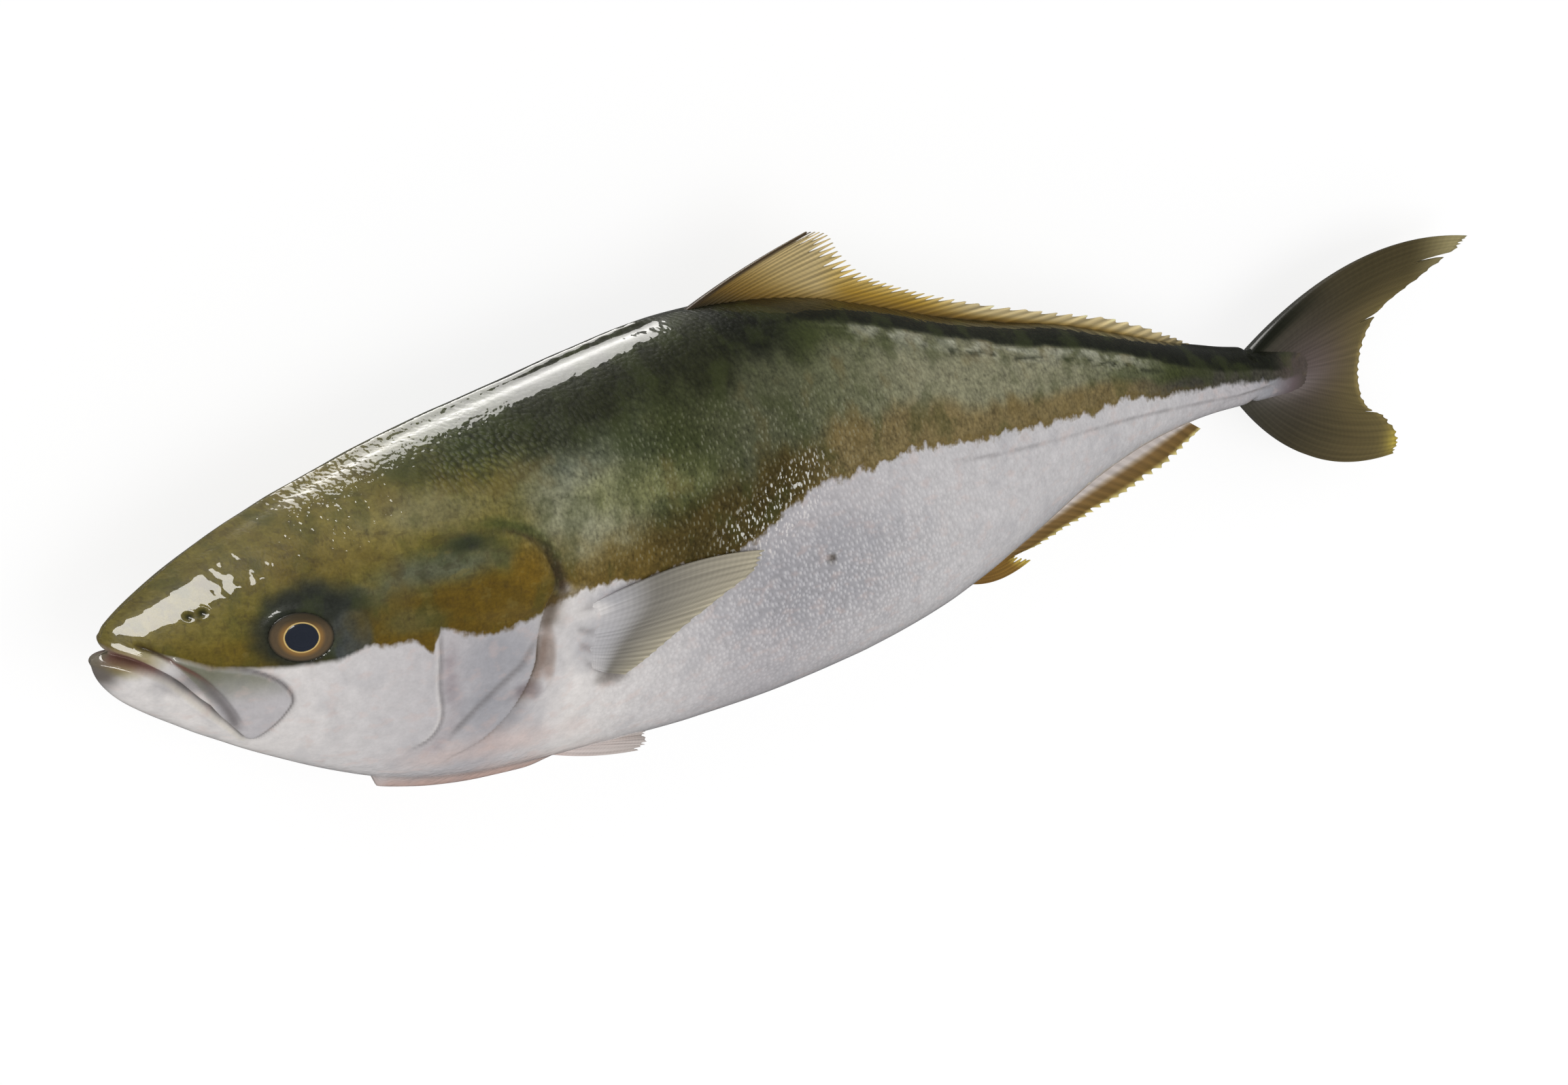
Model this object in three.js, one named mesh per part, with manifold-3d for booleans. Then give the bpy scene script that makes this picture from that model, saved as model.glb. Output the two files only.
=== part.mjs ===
// A whole raw yellowtail, the Japanese amberjack, lying on its right side with its left side up.
// Millimetres. X runs from the snout to the tail, Y from the belly to the back, and Z out of the
// left flank. The trunk and its fins are one solid, and each eye is a solid in its own socket.
import * as THREE from 'three';
import { mergeVertices } from 'three/addons/utils/BufferGeometryUtils.js';
import Module from 'manifold-3d';

const wasm = await Module();
wasm.setup();

// Driving dimensions. While the fish is shaped, x = 0 is the tip of the lower jaw, and y = 0 and
// z = 0 lie on the level of the mouth and on the middle plane.
const TRUNK_LENGTH = 690;
const REST_DEPTH = 54.5;
const SAG_START = 380;
const SAG_SPAN = 320;
const TAIL_SAG = 16;

// The trunk: distance from the snout, height of the back, height of the belly, half width.
const TRUNK = [
  [0, 6, 1, 0],
  [8, 17, -16, 12],
  [30, 32, -33, 22.5],
  [80, 55, -63, 35],
  [150, 76, -89, 47],
  [230, 94, -93, 55],
  [300, 105, -92, 57],
  [370, 98, -84, 55],
  [450, 74, -61, 46.7],
  [530, 54, -24, 34.6],
  [600, 31, -9, 21.5],
  [640, 21, -9, 14],
  [TRUNK_LENGTH, 12, -11, 1.5],
];
const WIDEST_AT = 0.52;
const RINGS = 80;
const RING_POINTS = 40;
const SNOUT_CROWDING = 1.55;

// Lines on the side of the head, as x, y in side view.
const GILL_COVER_EDGE = [[156, 36], [181, 33], [192, 24], [197, 8], [191, -4], [187, -16], [185, -30],
  [175, -50], [160, -65], [142, -73]];
const GILL_STEP = 2.6;
const CHEEK_EDGE = [[143, 2], [142, -14], [141, -30], [142, -48], [137, -58], [124, -64]];
const CHEEK_GROOVE = 1;
const LIP_LINE = [[2, 8], [14, 4], [26, -5], [37, -18], [48, -30], [56, -40]];
const LIP_GROOVE = 2.2;
const JAW_PLATE = [[28, 3], [44, -3], [63, -9], [73, -17], [76, -24], [73, -30], [66, -38], [60, -42],
  [50, -33], [38, -12]];
const JAW_PLATE_RISE = 1.3;

// The parted jaws: the gap at the front of the mouth, as a slot right across the snout. It opens
// upwards in front of the upper jaw, which starts a little behind the lower one.
const MOUTH_GAP = [[-6, 17], [1.2, 13], [2.8, 10.5], [4, 8.2], [12, 5], [22, -1.5], [28, -7.5],
  [20, -2.8], [11, 1.2], [3, 3.8], [-6, 4.5]];

// The eye: its place in side view, half length, half height, half depth, how far it stands proud
// of the skin, how flat its dome is (2 is an ellipsoid), how its long axis tips and the gap round
// it in its socket.
const EYE = {
  x: 82, y: 4.5, long: 15.5, high: 12, deep: 4.5, proud: 1.6, flatness: 3, tip: -0.17, gap: 0.3,
};

// Fins in side view. Each ray runs from a point of the root to a point of the margin, and bow
// pushes the middle of the first ray (and less so of the next ones) off the straight line.
const SECOND_DORSAL = {
  root: [[289, 99], [297, 100], [308, 99], [332, 97], [362, 93], [392, 85], [430, 76], [475, 65],
    [530, 49], [575, 35], [598, 28]],
  margin: [[367, 131], [378, 128], [385, 118], [397, 105], [412, 97], [436, 88], [466, 79], [506, 67],
    [550, 55], [588, 40], [607, 29]],
  bow: 2, lastBow: 0, thick: 4, thin: 1.4, rays: 30, steps: 3,
};
const ANAL = {
  root: [[438, -58], [450, -54], [464, -48], [482, -39], [505, -28], [530, -18], [560, -9], [592, -5]],
  margin: [[492, -64], [497, -59], [506, -55], [520, -50], [541, -44], [566, -37], [592, -28], [611, -17]],
  bow: 10, lastBow: 0, thick: 4, thin: 1.4, rays: 20, steps: 3,
};
const CAUDAL = {
  root: [[638, 14], [652, 12], [662, 8], [666, 2], [662, -2], [652, -6], [638, -7]],
  margin: [[818, 49], [781, 34], [746, 21], [731, 4], [728, -12], [735, -30], [752, -42], [765, -61]],
  bow: 20, lastBow: 14, thick: 9, thin: 1.4, rays: 24, steps: 10,
};
// The keel of the chest, which starts with a step under the throat.
const CHEST_KEEL = {
  root: [[124, -74], [150, -82], [182, -86], [222, -88]],
  margin: [[126, -87], [150, -92], [180, -96], [222, -94]],
  bow: 0, lastBow: 0, thick: 14, thin: 4, rays: 8, steps: 2,
};
const PELVIC = {
  root: [[196, -88], [203, -89], [211, -89]],
  margin: [[258, -105], [262, -101], [262, -96]],
  bow: 3, lastBow: 0, thick: 4, thin: 1.4, rays: 4, steps: 6, aside: 3,
};
const PECTORAL = {
  root: [[199, -12], [202, -20], [206, -29], [211, -37]],
  margin: [[301, 2], [296, -6], [275, -17], [254, -29], [240, -38], [229, -44]],
  bow: 8, lastBow: 0, rise: 3, tipRise: 1.6, sunk: 3, rays: 8, steps: 10,
};

const COLOURS = { skin: 0x6b6a3c, eye: 0x20242c };

// The smooth curve y(x) through points, as a natural cubic spline.
function spline(xs, ys) {
  const last = xs.length - 1;
  const bend = new Array(last + 1).fill(0);
  const carry = new Array(last + 1).fill(0);
  for (let i = 1; i < last; i++) {
    const before = xs[i] - xs[i - 1];
    const after = xs[i + 1] - xs[i];
    const share = before / (before + after);
    const pivot = share * bend[i - 1] + 2;
    const turn = (ys[i + 1] - ys[i]) / after - (ys[i] - ys[i - 1]) / before;
    bend[i] = (share - 1) / pivot;
    carry[i] = (6 * turn / (before + after) - share * carry[i - 1]) / pivot;
  }
  for (let i = last - 1; i > 0; i--) bend[i] = bend[i] * bend[i + 1] + carry[i];
  bend[0] = 0;
  bend[last] = 0;
  return (x) => {
    let i = 0;
    while (i < last - 1 && x > xs[i + 1]) i++;
    const span = xs[i + 1] - xs[i];
    const a = (xs[i + 1] - x) / span;
    const b = (x - xs[i]) / span;
    const curved = ((a ** 3 - a) * bend[i] + (b ** 3 - b) * bend[i + 1]) * span * span / 6;
    return a * ys[i] + b * ys[i + 1] + curved;
  };
}

// The trunk's profiles follow the square root of x, which rounds the snout.
const roots = TRUNK.map((row) => Math.sqrt(row[0]));
const profile = (column) => spline(roots, TRUNK.map((row) => row[column]));
const backOf = profile(1);
const bellyOf = profile(2);
const halfWidthOf = profile(3);

function sag(x) {
  const along = Math.max(0, (x - SAG_START) / SAG_SPAN);
  return -TAIL_SAG * along * along;
}

// A point of the smooth trunk. Angle 0 is the back, a quarter turn the left flank.
function smoothPoint(x, angle) {
  const q = Math.sqrt(Math.max(x, 0));
  const back = backOf(q);
  const belly = bellyOf(q);
  const half = Math.max(halfWidthOf(q), 0);
  const middle = belly + (back - belly) * WIDEST_AT;
  const c = Math.cos(angle);
  const s = Math.sin(angle);
  const y = c > 0 ? middle + (back - middle) * c : middle - (middle - belly) * Math.abs(c) ** 0.95;
  const z = half * Math.sign(s) * Math.abs(s) ** (c > 0 ? 1.08 : 0.92);
  return new THREE.Vector3(x, y, z + sag(x));
}

// How far (x, y) is from a line of the head, and on which side of it.
function lineOf(points, closed = false) {
  const flat = points.map(([x, y]) => new THREE.Vector3(x, y, 0));
  return new THREE.CatmullRomCurve3(flat, closed, 'centripetal').getPoints(48);
}

function signedDistance(line, x, y) {
  let nearest = Infinity;
  let side = 1;
  for (let i = 1; i < line.length; i++) {
    const a = line[i - 1];
    const b = line[i];
    const dx = b.x - a.x;
    const dy = b.y - a.y;
    const t = THREE.MathUtils.clamp(((x - a.x) * dx + (y - a.y) * dy) / (dx * dx + dy * dy), 0, 1);
    const distance = Math.hypot(x - a.x - t * dx, y - a.y - t * dy);
    if (distance < nearest) {
      nearest = distance;
      side = dx * (y - a.y) - dy * (x - a.x) >= 0 ? 1 : -1;
    }
  }
  return nearest * side;
}

const gillEdge = lineOf(GILL_COVER_EDGE);
const cheekEdge = lineOf(CHEEK_EDGE);
const lipLine = lineOf(LIP_LINE);
const jawPlate = lineOf(JAW_PLATE, true);

// Relief of the head, in millimetres outwards: the gill cover stands over the shoulder, the cheek
// bone's edge and the lip are grooves, and the plate of the upper jaw is raised.
function relief(x, y) {
  if (x > 230) return 0;
  const gill = signedDistance(gillEdge, x, y);
  const cheek = Math.abs(signedDistance(cheekEdge, x, y));
  const lip = Math.abs(signedDistance(lipLine, x, y));
  const plate = -signedDistance(jawPlate, x, y);
  const step = gill > 0 ? -GILL_STEP * Math.exp(-gill / 9) : 0.6 * Math.exp(gill / 8);
  const raised = JAW_PLATE_RISE * THREE.MathUtils.smoothstep(plate, -2, 2.5);
  return step - CHEEK_GROOVE * Math.exp(-cheek / 3) - LIP_GROOVE * Math.exp(-lip / 2.2) + raised;
}

function trunkPoint(x, angle) {
  const point = smoothPoint(x, angle);
  const ahead = smoothPoint(x, angle + 0.01);
  const behind = smoothPoint(x, angle - 0.01);
  const out = new THREE.Vector2(behind.z - ahead.z, ahead.y - behind.y).normalize();
  const onSide = Math.sin(angle) ** 2;
  const rise = relief(x, point.y) * onSide;
  point.y -= out.x * rise;
  point.z -= out.y * rise;
  point.z = Math.max(point.z, -REST_DEPTH);
  return point;
}

// The left flank's depth at a place in side view.
function flankDepth(x, y) {
  let low = 0;
  let high = Math.PI;
  for (let i = 0; i < 24; i++) {
    const angle = (low + high) / 2;
    if (smoothPoint(x, angle).y > y) low = angle;
    else high = angle;
  }
  return smoothPoint(x, low).z;
}

function geometryOf(vertices, triangles) {
  const geometry = new THREE.BufferGeometry();
  geometry.setAttribute('position', new THREE.Float32BufferAttribute(vertices.flatMap((v) => v.toArray()), 3));
  geometry.setIndex(triangles.flat());
  return geometry;
}

// A closed mesh is turned so that its faces point out.
function faceOut(vertices, triangles) {
  let volume = 0;
  for (const [a, b, c] of triangles) {
    volume += vertices[a].dot(new THREE.Vector3().crossVectors(vertices[b], vertices[c]));
  }
  return geometryOf(vertices, volume > 0 ? triangles : triangles.map(([a, b, c]) => [a, c, b]));
}

function trunk() {
  const vertices = [new THREE.Vector3(0, (TRUNK[0][1] + TRUNK[0][2]) / 2, 0)];
  const triangles = [];
  for (let i = 1; i <= RINGS; i++) {
    const x = TRUNK_LENGTH * (i / RINGS) ** SNOUT_CROWDING;
    for (let j = 0; j < RING_POINTS; j++) {
      vertices.push(trunkPoint(x, 2 * Math.PI * j / RING_POINTS));
    }
  }
  vertices.push(new THREE.Vector3(TRUNK_LENGTH, (backOf(Math.sqrt(TRUNK_LENGTH))
    + bellyOf(Math.sqrt(TRUNK_LENGTH))) / 2, sag(TRUNK_LENGTH)));
  const at = (ring, j) => 1 + ring * RING_POINTS + j % RING_POINTS;
  for (let j = 0; j < RING_POINTS; j++) {
    triangles.push([0, at(0, j), at(0, j + 1)]);
    triangles.push([vertices.length - 1, at(RINGS - 1, j + 1), at(RINGS - 1, j)]);
    for (let i = 0; i < RINGS - 1; i++) {
      triangles.push([at(i, j), at(i + 1, j), at(i + 1, j + 1)]);
      triangles.push([at(i, j), at(i + 1, j + 1), at(i, j + 1)]);
    }
  }
  return faceOut(vertices, triangles);
}

// A fin's ray u, from its root at v = 0 to the margin at v = 1, in side view.
function finMap({ root, margin, bow, lastBow }) {
  const rootCurve = new THREE.CatmullRomCurve3(root.map(([x, y]) => new THREE.Vector3(x, y, 0)),
    false, 'centripetal');
  const marginCurve = new THREE.CatmullRomCurve3(margin.map(([x, y]) => new THREE.Vector3(x, y, 0)),
    false, 'centripetal');
  return (u, v) => {
    const start = rootCurve.getPoint(u);
    const end = marginCurve.getPoint(u);
    const point = start.clone().lerp(end, v);
    const line = end.sub(start);
    const push = (bow * Math.max(0, 1 - 3 * u) - lastBow * Math.max(0, 3 * u - 2)) * 4 * v * (1 - v);
    const turn = Math.sign(margin.at(-1)[0] * margin[0][1] - margin[0][0] * margin.at(-1)[1]) || 1;
    const across = new THREE.Vector3(-line.y, line.x, 0).normalize();
    return point.addScaledVector(across, push * turn);
  };
}

// A closed thin sheet between two faces, both split into triangles alike.
function sheet(upper, lower, across, along) {
  const vertices = [];
  const triangles = [];
  const row = along + 1;
  const count = (across + 1) * row;
  for (const face of [upper, lower]) {
    for (let i = 0; i <= across; i++) {
      for (let j = 0; j <= along; j++) vertices.push(face(i / across, j / along));
    }
  }
  const quad = (a, b, c, d) => triangles.push([a, b, c], [a, c, d]);
  for (let i = 0; i < across; i++) {
    for (let j = 0; j < along; j++) {
      const a = i * row + j;
      triangles.push([a, a + row, a + row + 1], [a, a + row + 1, a + 1]);
      triangles.push([a + count, a + count + row + 1, a + count + row]);
      triangles.push([a + count, a + count + 1, a + count + row + 1]);
    }
    const first = i * row;
    const outer = first + along;
    quad(first + row, first, first + count, first + row + count);
    quad(outer, outer + row, outer + row + count, outer + count);
  }
  for (let j = 0; j < along; j++) {
    const end = across * row + j;
    quad(j, j + 1, j + 1 + count, j + count);
    quad(end + 1, end, end + count, end + 1 + count);
  }
  return faceOut(vertices, triangles);
}

// A fin that stands on the middle plane, or a pelvic fin a little to one side of it.
function standingFin(fin, aside = 0) {
  const map = finMap(fin);
  const face = (sign) => (u, v) => {
    const point = map(u, v);
    const thickness = fin.thick + (fin.thin - fin.thick) * v ** 0.6;
    point.z = sag(point.x) + aside + sign * thickness / 2;
    return point;
  };
  return sheet(face(1), face(-1), fin.rays, fin.steps);
}

// A pectoral fin lies folded back along the flank, and is no lower than the rest patch.
function pectoralFin(side) {
  const map = finMap(PECTORAL);
  const face = (offset) => (u, v) => {
    const point = map(u, v);
    const depth = flankDepth(point.x, point.y) + offset(v);
    point.z = side > 0 ? depth : Math.max(-depth, -REST_DEPTH);
    return point;
  };
  const outer = face((v) => PECTORAL.rise + (PECTORAL.tipRise - PECTORAL.rise) * v);
  const inner = face(() => -PECTORAL.sunk);
  return sheet(outer, inner, PECTORAL.rays, PECTORAL.steps);
}

// The parted jaws' slot, a prism from one side of the snout to the other.
function mouthSlot() {
  const outline = new THREE.Shape(MOUTH_GAP.map(([x, y]) => new THREE.Vector2(x, y)));
  const rear = Math.max(...MOUTH_GAP.map(([x]) => x));
  const width = 2 * halfWidthOf(Math.sqrt(rear)) + 10;
  const slot = new THREE.ExtrudeGeometry(outline, { depth: width, bevelEnabled: false });
  return slot.translate(0, 0, -width / 2);
}

// An eye, a flattened ball that looks out along the skin's own direction, grown by a margin.
function eyeBall(side, margin) {
  const centre = new THREE.Vector3(EYE.x, EYE.y, flankDepth(EYE.x, EYE.y));
  const reach = 4;
  const forward = new THREE.Vector3(-reach, 0, flankDepth(EYE.x - reach, EYE.y) - centre.z);
  const upward = new THREE.Vector3(0, reach, flankDepth(EYE.x, EYE.y + reach) - centre.z);
  const out = new THREE.Vector3().crossVectors(upward, forward).normalize();
  const long = forward.normalize().multiplyScalar(-1);
  long.applyAxisAngle(out, EYE.tip);
  const high = new THREE.Vector3().crossVectors(out, long);
  centre.addScaledVector(out, EYE.proud - EYE.deep);
  const ball = new THREE.SphereGeometry(1, 24, 12);
  const spots = ball.attributes.position;
  for (let i = 0; i < spots.count; i++) {
    const onRim = Math.abs(spots.getZ(i)) < 1e-6;
    const reach = onRim ? 1 : Math.hypot(spots.getX(i), spots.getY(i));
    spots.setZ(i, Math.sign(spots.getZ(i)) * (1 - reach ** EYE.flatness) ** (1 / EYE.flatness));
  }
  ball.scale(EYE.long + margin, EYE.high + margin, EYE.deep + margin);
  ball.applyMatrix4(new THREE.Matrix4().makeBasis(long, high, out).setPosition(centre));
  if (side < 0) {
    ball.scale(1, 1, -1);
    ball.index.array.reverse();
  }
  return ball;
}

function solidOf(geometry) {
  const bare = geometry.clone();
  bare.deleteAttribute('normal');
  bare.deleteAttribute('uv');
  const welded = mergeVertices(bare, 1e-4);
  const corners = [];
  for (let i = 0; i < welded.index.count; i += 3) {
    const [a, b, c] = [0, 1, 2].map((k) => welded.index.array[i + k]);
    if (a !== b && b !== c && c !== a) corners.push(a, b, c);
  }
  return new wasm.Manifold(new wasm.Mesh({
    numProp: 3,
    vertProperties: new Float32Array(welded.attributes.position.array),
    triVerts: new Uint32Array(corners),
  }));
}

function meshOf(name, solid, colour, roughness) {
  const { vertProperties, triVerts } = solid.getMesh();
  const geometry = new THREE.BufferGeometry();
  geometry.setAttribute('position', new THREE.BufferAttribute(new Float32Array(vertProperties), 3));
  geometry.setIndex(new THREE.BufferAttribute(new Uint32Array(triVerts), 1));
  geometry.computeVertexNormals();
  const material = new THREE.MeshStandardMaterial({ color: colour, roughness, metalness: 0 });
  const mesh = new THREE.Mesh(geometry, material);
  mesh.name = name;
  return mesh;
}

function fishSolid() {
  const fins = [standingFin(SECOND_DORSAL), standingFin(ANAL), standingFin(CAUDAL),
    standingFin(CHEST_KEEL), standingFin(PELVIC, PELVIC.aside), standingFin(PELVIC, -PELVIC.aside),
    pectoralFin(1), pectoralFin(-1)];
  const hollows = [mouthSlot(), eyeBall(1, EYE.gap), eyeBall(-1, EYE.gap)];
  const whole = fins.reduce((solid, fin) => solid.add(solidOf(fin)), solidOf(trunk()));
  return hollows.reduce((solid, hollow) => solid.subtract(solidOf(hollow)), whole);
}

const fish = new THREE.Group();
fish.add(meshOf('fish', fishSolid(), COLOURS.skin, 0.3));
fish.add(meshOf('eye_left', solidOf(eyeBall(1, 0)), COLOURS.eye, 0.08));
fish.add(meshOf('eye_right', solidOf(eyeBall(-1, 0)), COLOURS.eye, 0.08));

// The origin is under the middle of the fish, on what it lies on.
const box = new THREE.Box3().setFromObject(fish);
const middle = box.getCenter(new THREE.Vector3());
fish.position.set(-middle.x, -middle.y, -box.min.z);
fish.updateMatrixWorld(true);

export default fish;
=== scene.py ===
import math

import bpy
import numpy as np
from mathutils import Matrix, Vector


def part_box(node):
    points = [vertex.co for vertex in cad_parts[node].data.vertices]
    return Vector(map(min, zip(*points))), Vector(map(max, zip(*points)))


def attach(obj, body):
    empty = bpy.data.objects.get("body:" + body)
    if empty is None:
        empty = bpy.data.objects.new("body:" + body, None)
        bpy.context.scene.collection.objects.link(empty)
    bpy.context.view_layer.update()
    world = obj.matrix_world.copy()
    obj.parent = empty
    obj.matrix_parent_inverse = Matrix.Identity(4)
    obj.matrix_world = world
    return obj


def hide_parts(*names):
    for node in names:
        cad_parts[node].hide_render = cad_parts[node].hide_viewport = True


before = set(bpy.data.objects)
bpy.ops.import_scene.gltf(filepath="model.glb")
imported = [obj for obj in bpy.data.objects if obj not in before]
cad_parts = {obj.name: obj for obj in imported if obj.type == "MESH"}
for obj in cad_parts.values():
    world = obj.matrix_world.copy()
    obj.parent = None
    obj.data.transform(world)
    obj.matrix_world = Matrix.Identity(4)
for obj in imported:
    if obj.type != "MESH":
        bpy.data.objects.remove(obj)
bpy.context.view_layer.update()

TRUNK_LENGTH = 690
REST_DEPTH = 54.5
SAG_START = 380
SAG_SPAN = 320
TAIL_SAG = 16
WIDEST_AT = 0.52

# Powers that round the trunk's section: above its widest place, below it, and towards the belly.
UPPER_POWER, LOWER_POWER, BELLY_POWER = 1.08, 0.92, 0.95

# Distance from the snout, height of the back, height of the belly, half width.
TRUNK = [
    (0, 6, 1, 0), (8, 17, -16, 12), (30, 32, -33, 22.5), (80, 55, -63, 35), (150, 76, -89, 47),
    (230, 94, -93, 55), (300, 105, -92, 57), (370, 98, -84, 55), (450, 74, -61, 46.7),
    (530, 54, -24, 34.6), (600, 31, -9, 21.5), (640, 21, -9, 14), (TRUNK_LENGTH, 12, -11, 1.5),
]

# Lines on the side of the head, as x, y in side view.
GILL_COVER_EDGE = [(156, 36), (181, 33), (192, 24), (197, 8), (191, -4), (187, -16), (185, -30),
                   (175, -50), (160, -65), (142, -73)]
SHOULDER_EDGE = [(203, -2), (200, -11), (195, -20), (193, -31), (186, -43), (174, -57), (158, -69)]
SUBOPERCLE = [(188, -12), (179, -27), (166, -38), (152, -51), (144, -62)]
CHEEK_EDGE = [(143, 2), (142, -14), (141, -30), (142, -48), (137, -58), (124, -64)]
MOUTH = [(-6, 6.5), (3.5, 6), (11.5, 3.4), (20, -1.8), (28, -8), (37, -18), (48, -30), (57, -41)]
LIP_CREASE = [(14, 11), (20, 8), (28, 2), (39, -7), (49, -21), (57, -37)]
JAW_PLATE = [(28, 3), (44, -3), (63, -9), (73, -17), (76, -24), (73, -30), (66, -38), (60, -42),
             (50, -33), (38, -12)]
UNDER_EYE = [(40, -2), (52, -5), (62, -7), (76, -9), (90, -10)]
LATERAL_LINE = [(204, 36), (230, 40), (260, 42), (320, 38), (385, 26), (427, 18), (470, 15),
                (536, 12), (584, 7), (622, 3), (665, -1)]
FIN_ROOT_FOLDS = [[(203, -9), (222, -5), (246, -1)], [(204, -16), (213, -19), (224, -20)],
                  [(205, -23), (213, -28), (224, -31)], [(207, -31), (215, -38), (226, -43)]]
NOSTRILS = [(38, 20), (43.5, 20.8)]

# Grooves and ridges beside those lines: height, offset from the line, width and how long its ends fade.
HEAD_LINES = [
    (SHOULDER_EDGE, 1.5, 1.5, 2.4, 0.2), (SUBOPERCLE, -0.55, 0, 1.3, 0.2), (CHEEK_EDGE, -0.9, 0, 1.1, 0.15),
    (CHEEK_EDGE, -0.7, 4, 3, 0.15), (LIP_CREASE, -1.5, 0, 1, 0.12), (UNDER_EYE, -0.4, 0, 1.1, 0.2),
    *((fold, -0.6, 0, 1.2, 0.25) for fold in FIN_ROOT_FOLDS),
]
EYE = dict(x=82, y=4.5, long=14.5, high=11, proud=1.6, rim=-0.35, tip=-0.17)

# Where the dark upper side meets the pale lower side, and how ragged that edge is along the fish.
DARK_EDGE = [(0, 9), (16, 8), (30, 3), (45, -4), (73, -8), (96, -9), (110, -5), (117, -6), (131, -7),
             (138, -14), (143, -2), (152, -8), (165, -9), (176, -9), (191, -4), (201, 0), (217, 2),
             (243, 1), (284, 2), (300, 6), (312, 15), (332, 25), (350, 26), (384, 30), (404, 29),
             (428, 26), (464, 25), (499, 22), (536, 23), (562, 17), (608, 12), (650, 4), (700, -4)]
EDGE_RAGGED = [(0, 0.12), (90, 0.15), (112, 0.6), (190, 0.7), (230, 1.1), (420, 1.2), (560, 1),
               (640, 0.5)]

# Colours of the skin, from the head's yellow-brown over the greens of the back to the pale belly.
OLIVE, HONEY, GOLD, AMBER = (112, 101, 40), (138, 124, 66), (102, 80, 18), (116, 90, 22)
OCHRE, RUSSET, TAWNY, LICHEN = (112, 92, 42), (77, 65, 28), (123, 108, 71), (84, 86, 62)
MOSS, SEDGE, SAGE, SLATE = (60, 66, 33), (100, 102, 75), (134, 132, 106), (92, 98, 84)
PINE, PITCH, LEAD, DUSK = (40, 43, 21), (22, 25, 14), (40, 44, 40), (67, 65, 55)
TAUPE, IRON, HAZE, FERN = (86, 76, 70), (72, 77, 78), (150, 149, 122), (128, 129, 85)
MILK, PEARL, SHELL, ASH = (236, 231, 228), (217, 213, 213), (208, 205, 206), (192, 188, 191)
STEEL, BLUSH, RUST, CREAM = (164, 164, 170), (224, 196, 186), (190, 112, 78), (226, 219, 206)
PLUM, UMBER, MAUVE, CLAY = (108, 94, 96), (92, 84, 76), (126, 102, 108), (146, 126, 114)
FLESH, WINE, BARK, SMOKE = (138, 98, 90), (120, 72, 62), (60, 47, 31), (108, 103, 103)
# Of the four colours on the next line, all but MOSS_TINT are painted light: faint and bright glints on the
# scales and a pale reflection of the wet film.
MOSS_TINT, FAINT_GLINT, SHEEN, GLINT = (66, 74, 34), (150, 150, 130), (172, 172, 154), (226, 225, 218)
IRIS_INNER, IRIS_OUTER, IRIS_SHADE = (148, 112, 64), (98, 82, 62), (72, 62, 46)
EYE_RING, PUPIL_BLUE = (232, 200, 128), (40, 45, 56)

# The dark side along the fish: x, then the colours just over the edge, half way up and at the back.
DARK_BANDS = [
    (0, OLIVE, OLIVE, OLIVE), (110, GOLD, OLIVE, OLIVE), (172, GOLD, OLIVE, MOSS),
    (212, OCHRE, SLATE, PINE), (265, RUSSET, MOSS, PINE), (298, RUSSET, LICHEN, PINE),
    (322, RUSSET, LICHEN, PITCH), (350, TAWNY, SEDGE, MOSS), (400, TAWNY, SAGE, SEDGE),
    (450, TAWNY, SAGE, SAGE), (500, TAWNY, SAGE, SEDGE), (532, TAWNY, SEDGE, SEDGE),
    (574, DUSK, MOSS, DUSK), (612, DUSK, DUSK, DUSK), (650, DUSK, DUSK, DUSK),
    (668, TAUPE, TAUPE, DUSK), (682, TAUPE, TAUPE, TAUPE),
]
PALE_BANDS = [(0, MILK), (60, MILK), (110, PEARL), (165, ASH), (205, MILK), (250, PEARL), (310, ASH),
              (400, SHELL), (560, SHELL), (630, ASH), (652, STEEL), (674, PLUM), (684, TAUPE)]

# Soft patches on the skin: x, y, half length, half height, softness, strength, colour.
DARK_PATCHES = [
    (96, 34, 26, 10, 0.7, 0.4, OCHRE), (125, 46, 26, 12, 0.7, 0.75, HONEY),
    (150, 47, 26, 8, 0.7, 0.5, SAGE), (112, 15, 30, 7, 0.6, 0.65, SLATE),
    (148, 24, 30, 8, 0.6, 0.8, SLATE), (176, 38, 20, 5, 0.7, 0.5, HONEY),
    (88, 8, 26, 19, 0.25, 0.9, LEAD), (103, 1, 10, 12, 0.2, 0.85, IRON),
    (150, 6, 42, 11, 0.6, 0.8, GOLD), (187, 18, 8, 12, 0.5, 0.85, AMBER),
    (176, -3, 15, 4, 0.6, 0.6, OCHRE), (161, 32, 11, 3.4, 0.7, 0.85, LEAD),
    (128, 3, 14, 6, 0.7, 0.5, SEDGE), (216, 36, 24, 20, 0.7, 0.9, HAZE),
    (248, 42, 28, 9, 0.8, 0.85, FERN), (232, 6, 24, 8, 0.7, 0.6, OCHRE),
    (201, 4, 4, 3, 0.6, 0.8, ASH), (208, -2, 8, 5, 0.7, 0.6, ASH),
    (30, 14, 24, 7, 0.7, 0.35, HONEY),
]
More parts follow.
